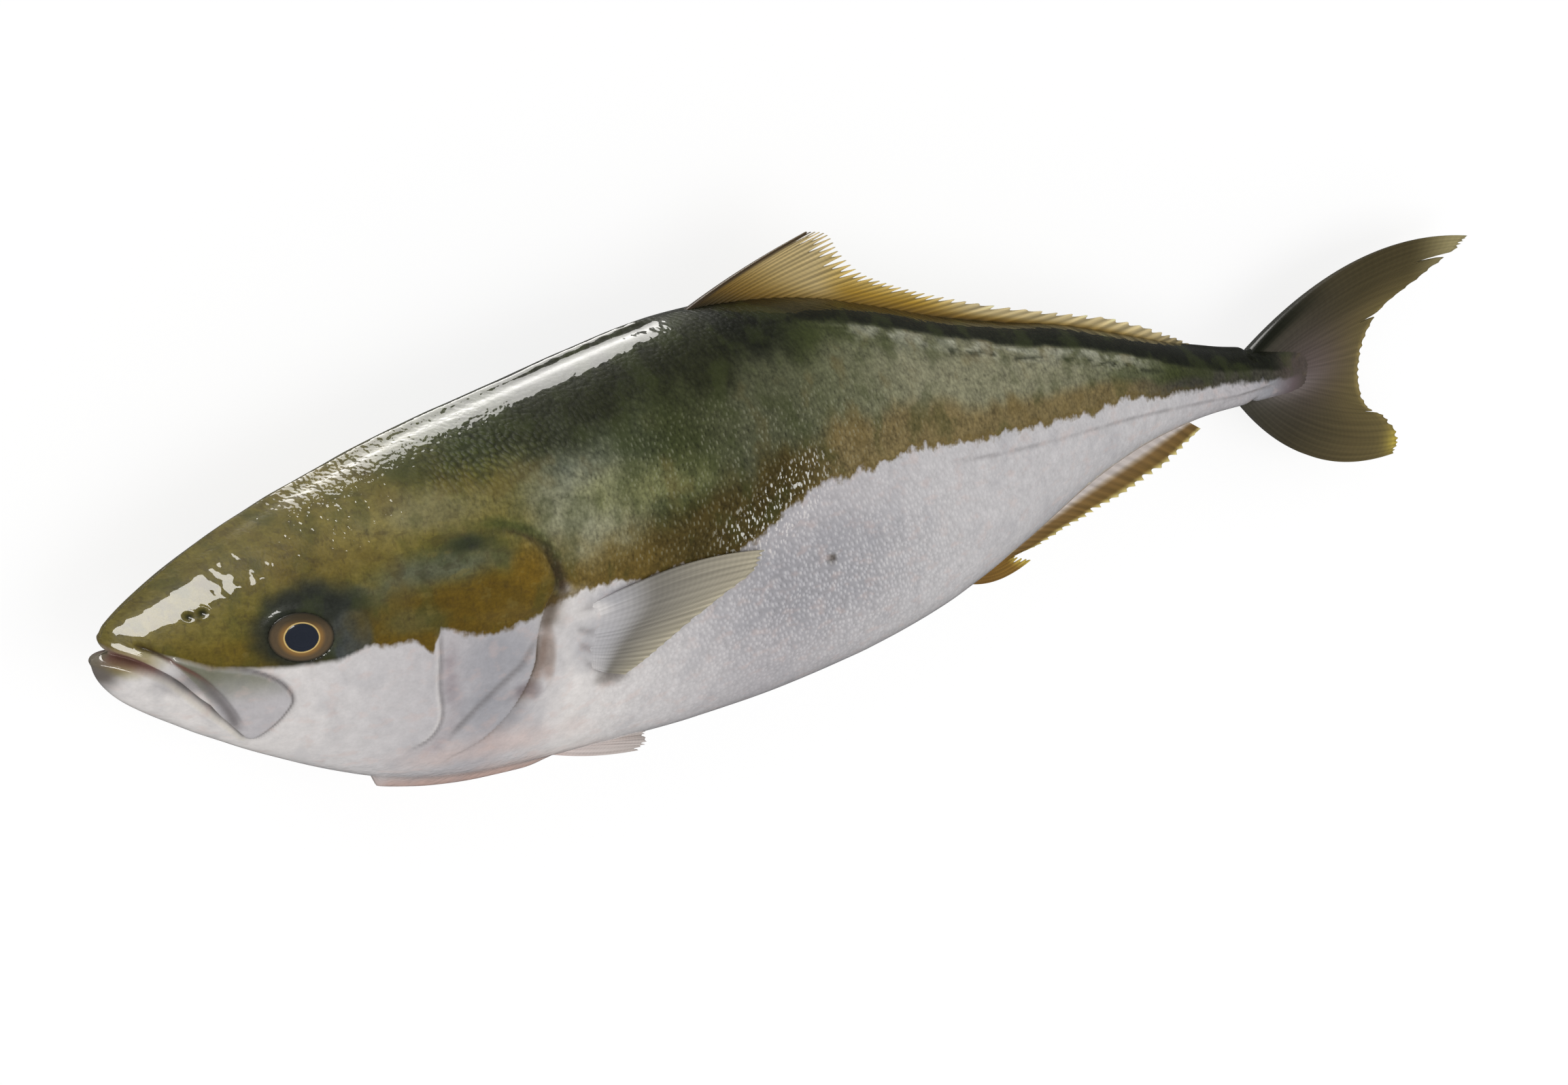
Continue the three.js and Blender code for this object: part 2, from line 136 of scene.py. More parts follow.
PALE_PATCHES = [
    (1, -1, 6, 8, 0.6, 0.85, UMBER), (13, 5, 11, 6, 0.7, 0.7, HONEY),
    (40, -8, 14, 6, 0.8, 0.5, SMOKE), (170, -24, 17, 18, 0.7, 0.7, STEEL),
    (163, -50, 15, 13, 0.7, 0.6, STEEL), (192, -24, 3, 13, 0.5, 0.6, CLAY),
    (181, -42, 6, 4, 0.6, 0.6, PLUM), (172, -92, 48, 9, 0.7, 0.6, BLUSH),
    (166, -68, 32, 7, 0.8, 0.45, BLUSH), (219, -22, 17, 14, 0.8, 0.55, STEEL),
    (330, -18, 54, 26, 0.8, 0.5, STEEL), (340, -12, 2.2, 2.2, 0.6, 0.8, UMBER),
    # The dark patch at 224, -44 is painted shade in the armpit under the pectoral fin.
    (224, -44, 7, 4, 0.7, 0.6, UMBER), (226, -3, 16, 4, 0.7, 0.5, STEEL),
    (213, -9, 8, 4, 0.5, 0.8, MILK),
]

# Colours of the fins, and how each changes along its rays, from the root at 0 to the margin at 1.
WHEAT, LINEN, WALNUT, LOAM = (196, 180, 144), (220, 206, 172), (74, 60, 42), (60, 52, 34)
FOG, PEAT, STRAW, CORN = (150, 140, 140), (66, 58, 34), (172, 152, 92), (216, 192, 78)
SAND = (186, 174, 126)
DORSAL_BANDS = [(0, (40, 38, 24)), (0.16, (66, 56, 34)), (0.34, (128, 100, 44)), (0.7, (172, 137, 52)),
                (1, (206, 182, 116))]
ANAL_BANDS = [(0, (206, 196, 192)), (0.5, (208, 198, 192)), (0.64, (130, 102, 60)),
              (0.86, (120, 94, 48)), (0.95, (206, 190, 120)), (1, (220, 208, 152))]
ANAL_LOBE_BANDS = [(0, (138, 108, 68)), (0.5, (132, 99, 46)), (0.86, (144, 110, 48)), (1, (222, 200, 96))]
CAUDAL_BANDS = [(0, DUSK), (0.3, (66, 60, 44)), (0.7, (97, 85, 54)), (1, (114, 101, 61))]
PELVIC_BANDS = [(0, BLUSH), (0.4, (222, 210, 206)), (1, (206, 196, 190))]
PECTORAL_BANDS = [(0, ASH), (0.16, STEEL), (0.44, (130, 126, 118)), (0.66, (150, 144, 130)),
                  (0.92, (174, 166, 146)), (1, (188, 180, 156))]

# Fins in side view. Each ray runs from a point of the root to a point of the margin.
SECOND_DORSAL = dict(
    root=[(289, 99), (297, 100), (308, 99), (328, 97), (356, 94), (386, 86.5), (424, 77.5), (474, 65),
          (526, 50.5), (568, 37), (598, 28)],
    margin=[(367, 131), (378, 128), (385, 118), (397, 106), (414, 97), (434, 89), (462, 79.5),
            (506, 67), (550, 55), (586, 40), (607, 29)],
    bow=2, last_bow=0, turn=1, thick=3.4, thin=0.7, rib=0.4, rays=46, fray=0.2, slits=())
ANAL = dict(
    root=[(438, -58), (450, -54), (464, -48), (482, -39), (505, -28), (530, -18), (560, -9),
          (592, -5)],
    margin=[(493, -62), (484, -58), (500, -56), (520, -50), (541, -44), (566, -37), (592, -28),
            (611, -17)],
    bow=8, last_bow=0, turn=-1, thick=3.4, thin=0.7, rib=0.35, rays=30, fray=0.12, slits=())
CAUDAL = dict(
    root=[(638, 14), (652, 12), (662, 8), (666, 2), (662, -2), (652, -6), (638, -7)],
    margin=[(818, 50), (812, 45), (781, 34), (746, 21), (731, 4), (728, -12), (735, -30), (752, -41),
            (764, -57), (759, -64)],
    bow=20, last_bow=16, turn=1, thick=8.4, thin=0.8, rib=0.2, rays=34, fray=0.025,
    slits=((0.145, 0.2, 0.005), (0.344, 0.18, 0.005), (0.733, 0.13, 0.005)))
PELVIC = dict(
    root=[(196, -88), (203, -89), (211, -89)], margin=[(258, -105), (262, -101), (262, -96)],
    bow=3, last_bow=0, turn=-1, thick=3.2, thin=0.7, rib=0.4, rays=6, fray=0.05, slits=(), aside=3)
PECTORAL = dict(
    root=[(199, -12), (202, -20), (206, -29), (211, -37)],
    margin=[(301, 2), (296, -6), (275, -17), (254, -29), (240, -38), (229, -44)],
    bow=8, last_bow=0, turn=1, thick=2.6, thin=0.8, rib=0.35, rays=19, fray=0.03, slits=(),
    lift=1.9, sunk=3.5, billow=1.2, pressed=0.4)

# The camera stands over the fish and is turned so that the fish climbs from left to right.
CAMERA_PLACE = (-364.9, 456.1, 1205.8)
CAMERA_AIM = (346.6, -20, 0)
CAMERA_UP = (0.2085, 0.9455, -0.2503)
CAMERA_LENS, SENSOR_WIDTH = 70, 36

CLOUD_CELLS = 64

_fish_low, _fish_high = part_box("fish")
PLACE = np.array([_fish_low.x,
                  _fish_high.y - SECOND_DORSAL["margin"][0][1] / 1000,
                  _fish_low.z + REST_DEPTH / 1000])


def in_frame(point):
    """A point of the fish, in millimetres, as metres in the frame."""
    return np.asarray(point, float) / 1000 + PLACE


def linear(colour):
    """An sRGB colour, 0 to 255, as linear light."""
    c = np.asarray(colour, float) / 255
    return np.where(c <= 0.04045, c / 12.92, ((c + 0.055) / 1.055) ** 2.4)


def smooth(start, end, value):
    """0 before start and 1 after end, with a smooth rise between."""
    t = np.clip((value - start) / (end - start), 0, 1)
    return t * t * (3 - 2 * t)


def between(start, full, fade, end, value):
    """0 up to start, 1 from full to fade and 0 from end on, with a smooth rise and fall."""
    return smooth(start, full, value) * smooth(end, fade, value)


def bump(distance, width):
    """1 on a line, falling away over the width."""
    return np.exp(-(distance / width) ** 2)


def cloud(x, y, size, seed):
    """Smooth noise from -1 to 1 with patches of the given size."""
    table = np.random.default_rng(seed).uniform(-1, 1, (CLOUD_CELLS, CLOUD_CELLS))
    u, v = np.asarray(x) / size, np.asarray(y) / size
    i, j = np.floor(u).astype(int), np.floor(v).astype(int)
    a, b = smooth(0, 1, u - i), smooth(0, 1, v - j)

    def at(right, up):
        return table[(i + right) % CLOUD_CELLS, (j + up) % CLOUD_CELLS]

    return (at(0, 0) * (1 - a) + at(1, 0) * a) * (1 - b) + (at(0, 1) * (1 - a) + at(1, 1) * a) * b


# ---------------------------------------------------------------- curves

def spline(xs, ys):
    """The smooth curve y(x) through points, as a natural cubic spline."""
    xs, ys = np.array(xs, float), np.array(ys, float)
    step = np.diff(xs)
    slope = np.diff(ys) / step
    last = len(xs) - 1
    system = np.eye(last + 1)
    turn = np.zeros(last + 1)
    for i in range(1, last):
        system[i, i - 1:i + 2] = step[i - 1], 2 * (step[i - 1] + step[i]), step[i]
        turn[i] = 6 * (slope[i] - slope[i - 1])
    bend = np.linalg.solve(system, turn)

    def at(x):
        i = np.clip(np.searchsorted(xs, x) - 1, 0, last - 1)
        a = (xs[i + 1] - x) / step[i]
        b = (x - xs[i]) / step[i]
        curved = ((a ** 3 - a) * bend[i] + (b ** 3 - b) * bend[i + 1]) * step[i] ** 2 / 6
        return a * ys[i] + b * ys[i + 1] + curved

    return at


def curve(points, closed=False):
    """The centripetal Catmull-Rom curve through points, from 0 at its start to 1 at its end."""
    p = np.array(points, float)
    before = p[-1:] if closed else 2 * p[:1] - p[1:2]
    after = p[:2] if closed else 2 * p[-1:] - p[-2:-1]
    full = np.concatenate([before, p, after])
    spans = len(p) if closed else len(p) - 1
    parts = []
    for i in range(spans):
        a, b, c, d = full[i:i + 4]
        t0, t1, t2 = (np.sum((m - n) ** 2) ** 0.25 for m, n in ((a, b), (b, c), (c, d)))
        leave = ((b - a) / t0 - (c - a) / (t0 + t1) + (c - b) / t1) * t1
        arrive = ((c - b) / t1 - (d - b) / (t1 + t2) + (d - c) / t2) * t1
        parts.append([b, leave, 3 * (c - b) - 2 * leave - arrive, 2 * (b - c) + leave + arrive])
    parts = np.array(parts)

    def at(share):
        place = np.asarray(share) * spans
        i = np.clip(np.floor(place).astype(int), 0, spans - 1)
        w = (place - i)[..., None]
        a, b, c, d = (parts[i, k] for k in range(4))
        return a + w * (b + w * (c + w * d))

    return at


def near(points, x, y, closed=False, pieces=60):
    """The signed distance from a line in side view, and the share along it of the nearest place."""
    line = curve(points, closed)(np.linspace(0, 1, pieces + 1))
    nearest = np.full(np.shape(x), 1e9)
    side = np.ones(np.shape(x))
    share = np.zeros(np.shape(x))
    for i in range(pieces):
        (ax, ay), (bx, by) = line[i], line[i + 1]
        dx, dy = bx - ax, by - ay
        t = np.clip(((x - ax) * dx + (y - ay) * dy) / (dx * dx + dy * dy), 0, 1)
        distance = np.hypot(x - ax - t * dx, y - ay - t * dy)
        closer = distance < nearest
        nearest = np.where(closer, distance, nearest)
        side = np.where(closer, np.where(dx * (y - ay) - dy * (x - ax) >= 0, 1, -1), side)
        share = np.where(closer, (i + t) / pieces, share)
    return nearest * side, share


def inner(share, ends=0.06):
    """1 along a line, falling to 0 at both of its ends."""
    return between(0, ends, 1 - ends, 1, share)


def beside(points, x, y, offset, width, ends=0.06):
    """1 at an offset from a line in side view, falling away over the width and to the line's ends."""
    distance, share = near(points, x, y)
    return bump(distance - offset, width) * inner(share, ends)


def read_off(table, x):
    """The value at x, on straight pieces between a table's points."""
    return np.interp(x, *np.array(table, float).T)


# ---------------------------------------------------------------- the trunk

_roots = [math.sqrt(row[0]) for row in TRUNK]
back_of = spline(_roots, [row[1] for row in TRUNK])
belly_of = spline(_roots, [row[2] for row in TRUNK])
half_width_of = spline(_roots, [row[3] for row in TRUNK])


def sag(x):
    return -TAIL_SAG * np.clip((x - SAG_START) / SAG_SPAN, 0, None) ** 2


def levels(x):
    """Height of the back, of the widest place and of the belly, and the half width."""
    q = np.sqrt(np.clip(x, 0, None))
    back, belly = back_of(q), belly_of(q)
    return back, belly + (back - belly) * WIDEST_AT, belly, np.maximum(half_width_of(q), 0)


def trunk_point(x, angle):
    """A point of the smooth trunk. Angle 0 is the back, a quarter turn the left flank."""
    back, middle, belly, half = levels(x)
    c, s = np.cos(angle), np.sin(angle)
    lower = middle - (middle - belly) * np.abs(c) ** BELLY_POWER
    y = np.where(c > 0, middle + (back - middle) * c, lower)
    z = half * np.sign(s) * np.abs(s) ** np.where(c > 0, UPPER_POWER, LOWER_POWER)
    return np.stack([np.broadcast_to(x, y.shape), y, z + sag(x)], -1)


def flank_depth(x, y):
    """How far out the left flank is at a place in side view."""
    back, middle, belly, half = levels(x)
    up = np.clip((y - middle) / (back - middle), 0, 1)
    down = np.clip((middle - y) / (middle - belly), 0, 1) ** (1 / BELLY_POWER)
    s = np.sqrt(1 - np.maximum(up, down) ** 2)
    return half * s ** np.where(y > middle, UPPER_POWER, LOWER_POWER) + sag(x)


SNOUT_END, HEAD_END, HEAD_LINES_END = 6, 216, 236
SNOUT_RINGS, HEAD_STEP, BODY_STEP = 12, 0.9, 1.9
LEFT_POINTS, RIGHT_POINTS = 128, 72
FLANK_CROWDING = 0.13
UPPER_JAW_SETBACK = 3.4


def ring_places():
    snout = SNOUT_END * (np.arange(1, SNOUT_RINGS + 1) / SNOUT_RINGS) ** 2
    head = np.arange(SNOUT_END + HEAD_STEP, HEAD_END, HEAD_STEP)
    rest = np.arange(HEAD_END, TRUNK_LENGTH, BODY_STEP)
    return np.concatenate([snout, head, rest, [TRUNK_LENGTH]])


def ring_angles():
    left = np.pi * np.arange(LEFT_POINTS) / LEFT_POINTS
    right = np.pi + np.pi * np.arange(RIGHT_POINTS) / RIGHT_POINTS
    turn = np.concatenate([left, right])
    return turn + FLANK_CROWDING * np.sin(2 * turn)


def eye_reach(x, y):
    """How far a place in side view is from the middle of the eye; 1 is the eye's rim."""
    c, s = math.cos(EYE["tip"]), math.sin(EYE["tip"])
    dx, dy = x - EYE["x"], y - EYE["y"]
    return np.hypot((dx * c + dy * s) / EYE["long"], (dy * c - dx * s) / EYE["high"])


def head_relief(x, y):
    """The head's relief, in millimetres outwards."""
    gill, share = near(GILL_COVER_EDGE, x, y)
    step = 1.1 + 1.7 * smooth(10, -6, y)
    rise = -step * smooth(-0.9, 0.9, gill) * np.exp(-np.clip(gill, 0, None) / 8) * inner(share, 0.14)
    rise += 0.7 * np.exp(-np.abs(gill) / 8) * smooth(0.9, -0.9, gill) * inner(share, 0.14)
    for line, height, offset, width, ends in HEAD_LINES:
        rise += height * beside(line, x, y, offset, width, ends)
    mouth, share = near(MOUTH, x, y)
    width = 2.5 - 1.9 * share
    rise -= (7.5 - 5.5 * share) * bump(mouth, width)
    rise += 0.9 * bump(np.abs(mouth) - width - 1.7, 1.6) * smooth(1, 0.8, share)
    plate = -near(JAW_PLATE, x, y, closed=True)[0]
    rise += 1.4 * smooth(-0.7, 0.9, plate) - 0.6 * bump(plate + 1, 0.9)
    reach = eye_reach(x, y)
    rise -= 3 * (1 - smooth(0.92, 0.99, reach)) - 0.35 * bump(reach - 1.12, 0.12)
    rise += 0.5 * bump(reach - 1.1, 0.14) * smooth(2, 9, y - EYE["y"])
    for place in NOSTRILS:
        hole = np.hypot(x - place[0], (y - place[1]) * 1.3)
        rise += 0.15 * bump(hole - 2.8, 1.1) - 1.3 * bump(hole, 1.5)
    return rise


def body_relief(x, y, z):
    """The whole trunk's relief: crests, the lateral line, the tail's keel, vent and soft unevenness."""
    back, _, belly, _ = levels(x)
    middle = z - sag(x)
    rise = 0.25 * beside(LATERAL_LINE, x, y, 2, 1.2) - 0.3 * beside(LATERAL_LINE, x, y, 0, 1.1)
    crest = between(20, 60, 270, 292, x) * (y > 0)
    rise += (1.2 * bump(middle, 2.6) - 0.7 * bump(np.abs(middle) - 6, 3)) * crest
    fold = between(205, 225, 275, 290, x) * (y > 0)
    rise += 0.5 * bump(middle, 2.2) * fold * (0.8 + 0.2 * np.sin(x * 2 * np.pi / 9))
    tail_ridge = bump(middle, 3) * between(585, 610, 640, 660, x) * (y > back - 8)
    keel = bump(y - 4, 2.6) * between(585, 620, 665, 690, x)
    notch = bump(x - 643, 3.2) * (bump(y - back, 5) + bump(y - belly, 5))
    chest = bump(middle, 6.5) * between(121, 126, 196, 228, x) * (y < -60)
    vent = bump(np.hypot((x - 425) / 2.2, middle), 3) * (y < -40)
    rise += 0.9 * tail_ridge + 1.2 * keel - 1.6 * notch + 6 * chest - 2.2 * vent
    return rise + 0.35 * cloud(x, y + 300, 34, 5) + 0.16 * cloud(x, y + 300, 13, 6)


def blend(bands, place, column=1):
    """A colour between the rows of a table, whose first column is the place."""
    at = [row[0] for row in bands]
    return np.stack([np.interp(place, at, [row[column][k] for row in bands]) for k in range(3)], -1)


def over(base, *coats):
    """Paint with coats laid over it in turn, each a colour and its weight."""
    for colour, weight in coats:
        base = base + (np.asarray(colour, float) - base) * np.clip(weight, 0, 1)[..., None]
    return base


def patches(base, spots, x, y):
    """Paint with a table's soft patches laid over it."""
    wobble = 0.32 * cloud(x, y, 9, 21) + 0.2 * cloud(x, y, 3.5, 22)
    for spot_x, spot_y, long, high, soft, strength, colour in spots:
        reach = np.hypot((x - spot_x) / long, (y - spot_y) / high) + soft * wobble
        base = over(base, (colour, strength * (1 - smooth(1 - soft, 1 + soft, reach))))
    return base


def dark_paint(x, y):
    """The broad colours of the upper side, which change in ragged upright streaks, with a painted
    reflection along the back.
    """
    back, edge = levels(x)[0], read_off(DARK_EDGE, x)
    streaks = 0.6 * cloud(x, 0.3 * y, 6, 11) + 0.5 * cloud(x, y, 16, 12)
    up = (y - edge) / np.maximum(back - edge, 1) + 0.09 * streaks
    paint = over(blend(DARK_BANDS, x), (blend(DARK_BANDS, x, 2), smooth(0.22, 0.42, up)),
                 (blend(DARK_BANDS, x, 3), smooth(0.62, 0.86, up)))
    stripe = 7.5 + 1.5 * smooth(480, 600, x)
    below = back - y + 1.2 * streaks - stripe
    # A painted reflection: a torn pale band of wet sheen just under the dark stripe.
    torn = smooth(-0.35, 0.05, cloud(x, 2.5 * y, 10, 45) + 0.6 * cloud(x, 2 * y, 4, 46))
    sheen = smooth(0, 2, below) * bump(below, 7) * torn * between(350, 390, 540, 575, x)
    dashes = bump(below - 6, 1.4) * smooth(0, 0.4, cloud(x, 3 * y, 5, 47)) * between(380, 430, 550, 575, x)
    return over(patches(paint, DARK_PATCHES, x, y), (SHEEN, 0.85 * sheen), (PITCH, 0.6 * dashes),
                (PITCH, 0.9 * between(296, 325, 650, 672, x) * smooth(1.5, -1, below)))


def line_paint(paint, x, y):
    """The head's dark and reddish lines, on either side of the dark edge, with painted shadow and shade in
    some creases, pits and folds and a painted highlight by the cheek.
    """
    broken = smooth(-0.5, 0.6, cloud(x, y, 11, 41) + 0.4 * cloud(x, y, 4, 42))
    gill, share = near(GILL_COVER_EDGE, x, y)
    slit = inner(share, 0.16) * (0.25 + 0.75 * broken)
    opening = between(-15, -9, 20, 36, y) * (0.6 + 0.4 * broken)
    spread = 2.6 + 0.07 * np.clip(12 - y, 0, 22)
    # The olive band just outside the gill cover's upper edge is a painted shadow of that edge.
    paint = over(paint, (CLAY, 0.8 * bump(gill - 3, 2.4) * slit * between(-70, -30, 2, 16, y)),
                 (MOSS_TINT, 0.7 * bump(gill - 3.5, 2.6) * inner(share, 0.1) * smooth(14, 22, y)),
                 (BARK, 0.9 * bump(gill - spread, spread) * opening),
                 (BARK, 0.7 * bump(gill - 0.7, 0.9) * slit))
    cheek, share = near(CHEEK_EDGE, x, y)
    bars = 0.85 + 0.15 * np.sin((y + 0.3 * x) * 2 * np.pi / 2.4)
    flush = inner(share, 0.25) * (0.3 + 0.7 * broken) * bars
    plate = near(JAW_PLATE, x, y, closed=True)[0]
    # Beside the cheek's edge: a reddish flush behind it, a dark line on it and a thin painted highlight
    # just in front of it.
    paint = over(paint, (MAUVE, 0.4 * bump(cheek - 4.5, 3.8) * flush),
                 (SMOKE, 0.45 * bump(cheek, 1) * inner(share, 0.2)),
                 (MILK, 0.6 * bump(cheek + 1.6, 1) * inner(share, 0.3)),
                 (SMOKE, 0.5 * beside(SUBOPERCLE, x, y, 0, 1.5, 0.2)),
                 (ASH, 0.8 * smooth(0.5, -1.5, plate)),
                 (SEDGE, 0.7 * smooth(0.5, -1.5, plate) * smooth(-24, -4, y)),
                 (SMOKE, 0.8 * bump(plate - 0.3, 0.8) * smooth(46, 62, x)))
    crease, share = near(LIP_CREASE, x, y)
    # The lip crease: a dark line in front, reddish in the middle, and at the rear a soft painted shadow on
    # the lip's side.
    paint = over(paint, (BARK, 0.8 * bump(crease, 0.8) * between(0, 0.1, 0.3, 0.5, share)),
                 (WINE, 0.7 * bump(crease, 0.9) * bump(share - 0.5, 0.16)),
                 (SMOKE, 0.75 * bump(crease + 1.5, 2) * between(0.5, 0.7, 0.9, 1, share)))
    mouth, share = near(MOUTH, x, y)
    width = 2.3 * smooth(0.62, 0.2, share) + 0.7
    paint = over(paint, (FLESH, 0.9 * bump(mouth, width) * smooth(0, 4, x) * smooth(0.6, 0.4, share)),
                 (SMOKE, 0.7 * bump(mouth, 0.8) * smooth(0.4, 0.6, share)),
                 (CREAM, 0.7 * bump(mouth + 1.8, 0.9) * smooth(0.3, 0.5, share)))
    # Painted shade in the folds at the pectoral fin's root and along the fin's upper edge.
    for fold in FIN_ROOT_FOLDS:
        paint = over(paint, (SMOKE, 0.4 * beside(fold, x, y, 0, 1.6, 0.3) * (0.5 + 0.5 * broken)))
    # Painted shade in the nostril pits.
    for place in NOSTRILS:
        hole = np.hypot(x - place[0], (y - place[1]) * 1.3) * (1 + 0.35 * cloud(x, y, 1.6, 43))
        paint = over(paint, (PITCH, 0.85 * bump(hole, 1.9)))
    return paint


def pale_paint(x, y):
    """The broad colours of the lower side."""
    keel = bump(y - levels(x)[2] + 4, 4) * between(118, 130, 205, 226, x)
    broken = 0.5 + 0.5 * smooth(-0.6, 0.4, cloud(x, y, 5, 44))
    return over(patches(blend(PALE_BANDS, x), PALE_PATCHES, x, y), (RUST, 0.7 * keel),
                (SMOKE, 0.3 * beside(LATERAL_LINE, x, y, 0, 1) * smooth(400, 440, x) * broken),
                (MILK, 0.8 * beside(UNDER_EYE, x, y, -1.4, 1.2, 0.2)))


def scaliness(x, y):
    """Where scales show: from behind the head back to the tail."""
    start = 136 + 1.1 * np.clip(56 - y, 0, 60)
    return smooth(0, 22, x - start) * smooth(690, 640, x)


def scale_glints(x, y):
    """How strongly scales catch the light: most along the dark edge behind the pectoral fin."""
    over_edge = y - read_off(DARK_EDGE, x)
    flecks = bump(x - 310, 40) * between(-28, -4, 12, 32, over_edge)
    flank = 0.4 * bump(x - 305, 105) * smooth(0, 10, over_edge) * smooth(84, 56, y)
    return np.maximum(flecks, flank)


def scale_beads(x, y):
    """Where the scales show as beads: behind and under the pectoral fin, and on the nape."""
    return np.maximum(bump(x - 335, 70) * bump(y + 24, 40), bump(x - 180, 26) * bump(y - 66, 10))


def wet_ripple(x, y):
    """How broken the wet film is: rippled over the nape, most along the crown, and calm elsewhere."""
    back = levels(x)[0]
    crown = bump(x - 112, 26) * smooth(back - 18, back - 8, y)
    return 0.06 + 1.2 * between(68, 112, 178, 214, x) + 0.9 * crown


# ---------------------------------------------------------------- meshes

def add_object(name, data):
    made = bpy.data.objects.new(name, data)
    bpy.context.scene.collection.objects.link(made)
    return made


def tube_faces(rings, count):
    """The faces of a tube of rings, whose two ends close on two points that come after the rings."""
    j = np.arange(count)
    after = (j + 1) % count
    i = (np.arange(rings - 1) * count)[:, None]
    quads = np.stack([i + j, i + count + j, i + count + after, i + after], -1).reshape(-1, 4)
    total, last = rings * count, (rings - 1) * count
    front = np.stack([np.full(count, total), j, after], -1)
    rear = np.stack([np.full(count, total + 1), last + after, last + j], -1)
    return np.concatenate([quads[:, [0, 1, 2]], quads[:, [0, 2, 3]], front, rear])


def make_mesh(name, points, faces, material, **attributes):
    """A smooth piece from points in millimetres, turned so that its faces point out."""
    points, faces = np.asarray(points, float), np.asarray(faces)
    a, b, c = (points[faces[:, k]] for k in range(3))
    if np.einsum("ij,ij->i", a, np.cross(b, c)).sum() < 0:
        faces = faces[:, ::-1]
    mesh = bpy.data.meshes.new(name)
    mesh.from_pydata(in_frame(points).tolist(), [], faces.tolist())
    for key, values in attributes.items():
        values = np.asarray(values, float)
        width = values.shape[1] if values.ndim > 1 else 1
        kind, field = {1: ("FLOAT", "value"), 3: ("FLOAT_VECTOR", "vector"),
                       4: ("FLOAT_COLOR", "color")}[width]
        mesh.attributes.new(key, kind, "POINT").data.foreach_set(field, values.ravel())
    mesh.shade_smooth()
    mesh.materials.append(material)
    return add_object(name, mesh)


def painted(colour):
    """sRGB colours as a linear colour attribute."""
    rgb = linear(np.clip(colour, 0, 255))
    return np.concatenate([rgb, np.ones(rgb.shape[:-1] + (1,))], -1).reshape(-1, 4)


def part_of_fish(piece, slot, *nodes):
    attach(piece, "root")
    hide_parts(*nodes)


# How far the noise on the right side is shifted, so that it isn't the left side's mirrored.
SIDE_SHIFT = 400


def build_body(material):
    x = ring_places()[:, None]
    angle = ring_angles()[None, :]
    smooth_skin = trunk_point(x, angle)
    around = np.roll(smooth_skin, -1, axis=1) - np.roll(smooth_skin, 1, axis=1)
    out = np.cross(around, np.gradient(smooth_skin, axis=0))
    out /= np.linalg.norm(out, axis=-1, keepdims=True)
    side_x, side_y, side_z = np.moveaxis(smooth_skin, -1, 0)

    rise = body_relief(side_x, side_y, side_z)
    head = ring_places() < HEAD_LINES_END
    rise[head] += head_relief(side_x[head], side_y[head])
    skin = smooth_skin + out * rise[..., None]
    skin[..., 0] += UPPER_JAW_SETBACK * smooth(5.5, 10, side_y) * smooth(9, 0, side_x)
    skin[..., 2] = np.maximum(skin[..., 2], -REST_DEPTH)

    arc = np.cumsum(np.linalg.norm(smooth_skin - np.roll(smooth_skin, 1, axis=1), axis=-1), axis=1)
    left = (angle <= np.pi) & (angle >= 0)
    widest = LEFT_POINTS // 2, LEFT_POINTS + RIGHT_POINTS // 2
    up = np.where(left, arc[:, widest[:1]] - arc, arc - arc[:, widest[1:]])
    flow = np.stack([side_x, up, np.where(left, 0, SIDE_SHIFT) + 0 * up], -1)

    dark, pale = dark_paint(side_x, side_y), pale_paint(side_x, side_y)
    dark[head] = line_paint(dark[head], side_x[head], side_y[head])
    pale[head] = line_paint(pale[head], side_x[head], side_y[head])

    rings, count = side_x.shape
    tip = (0, (TRUNK[0][1] + TRUNK[0][2]) / 2, 0)
    end = (TRUNK_LENGTH, (TRUNK[-1][1] + TRUNK[-1][2]) / 2, sag(TRUNK_LENGTH))
    points = np.concatenate([skin.reshape(-1, 3), [tip, end]])

    def with_ends(values):
        flat = values.reshape(rings * count, -1)
        return np.concatenate([flat, flat[:1], flat[-1:]]).squeeze()

    attributes = dict(
        dark=painted(dark), pale=painted(pale), edge=side_y - read_off(DARK_EDGE, side_x),
        ragged=read_off(EDGE_RAGGED, side_x), glints=scale_glints(side_x, side_y),
        beads=scale_beads(side_x, side_y), ripple=wet_ripple(side_x, side_y),
        flow=flow, scaly=scaliness(side_x, side_y))
    piece = make_mesh("body", points, tube_faces(rings, count), material,
                      **{key: with_ends(values) for key, values in attributes.items()})
    part_of_fish(piece, "skin", "fish")


# ---------------------------------------------------------------- fins

SAMPLES_PER_RAY = 8
FIN_STEPS = 34
FIN_TAPER = 0.6
FIN_SWAY, FIN_CRUMPLE = 1.2, 0.5


def fin_side(fin, u, v):
    """A fin's ray u, from its root at v = 0 to the margin at v = 1, in side view."""
    start = curve(fin["root"])(u)
    line = curve(fin["margin"])(u) - start
    across = np.stack([-line[..., 1], line[..., 0]], -1)
    across /= np.linalg.norm(across, axis=-1, keepdims=True)
    bow = fin["bow"] * np.clip(1 - 3 * u, 0, None) - fin["last_bow"] * np.clip(3 * u - 2, 0, None)
    push = bow * 4 * v * (1 - v) * fin["turn"]
    return start + line * v[..., None] + across * push[..., None]


def fin_thickness(fin, v):
    return fin["thick"] + (fin["thin"] - fin["thick"]) * v ** FIN_TAPER


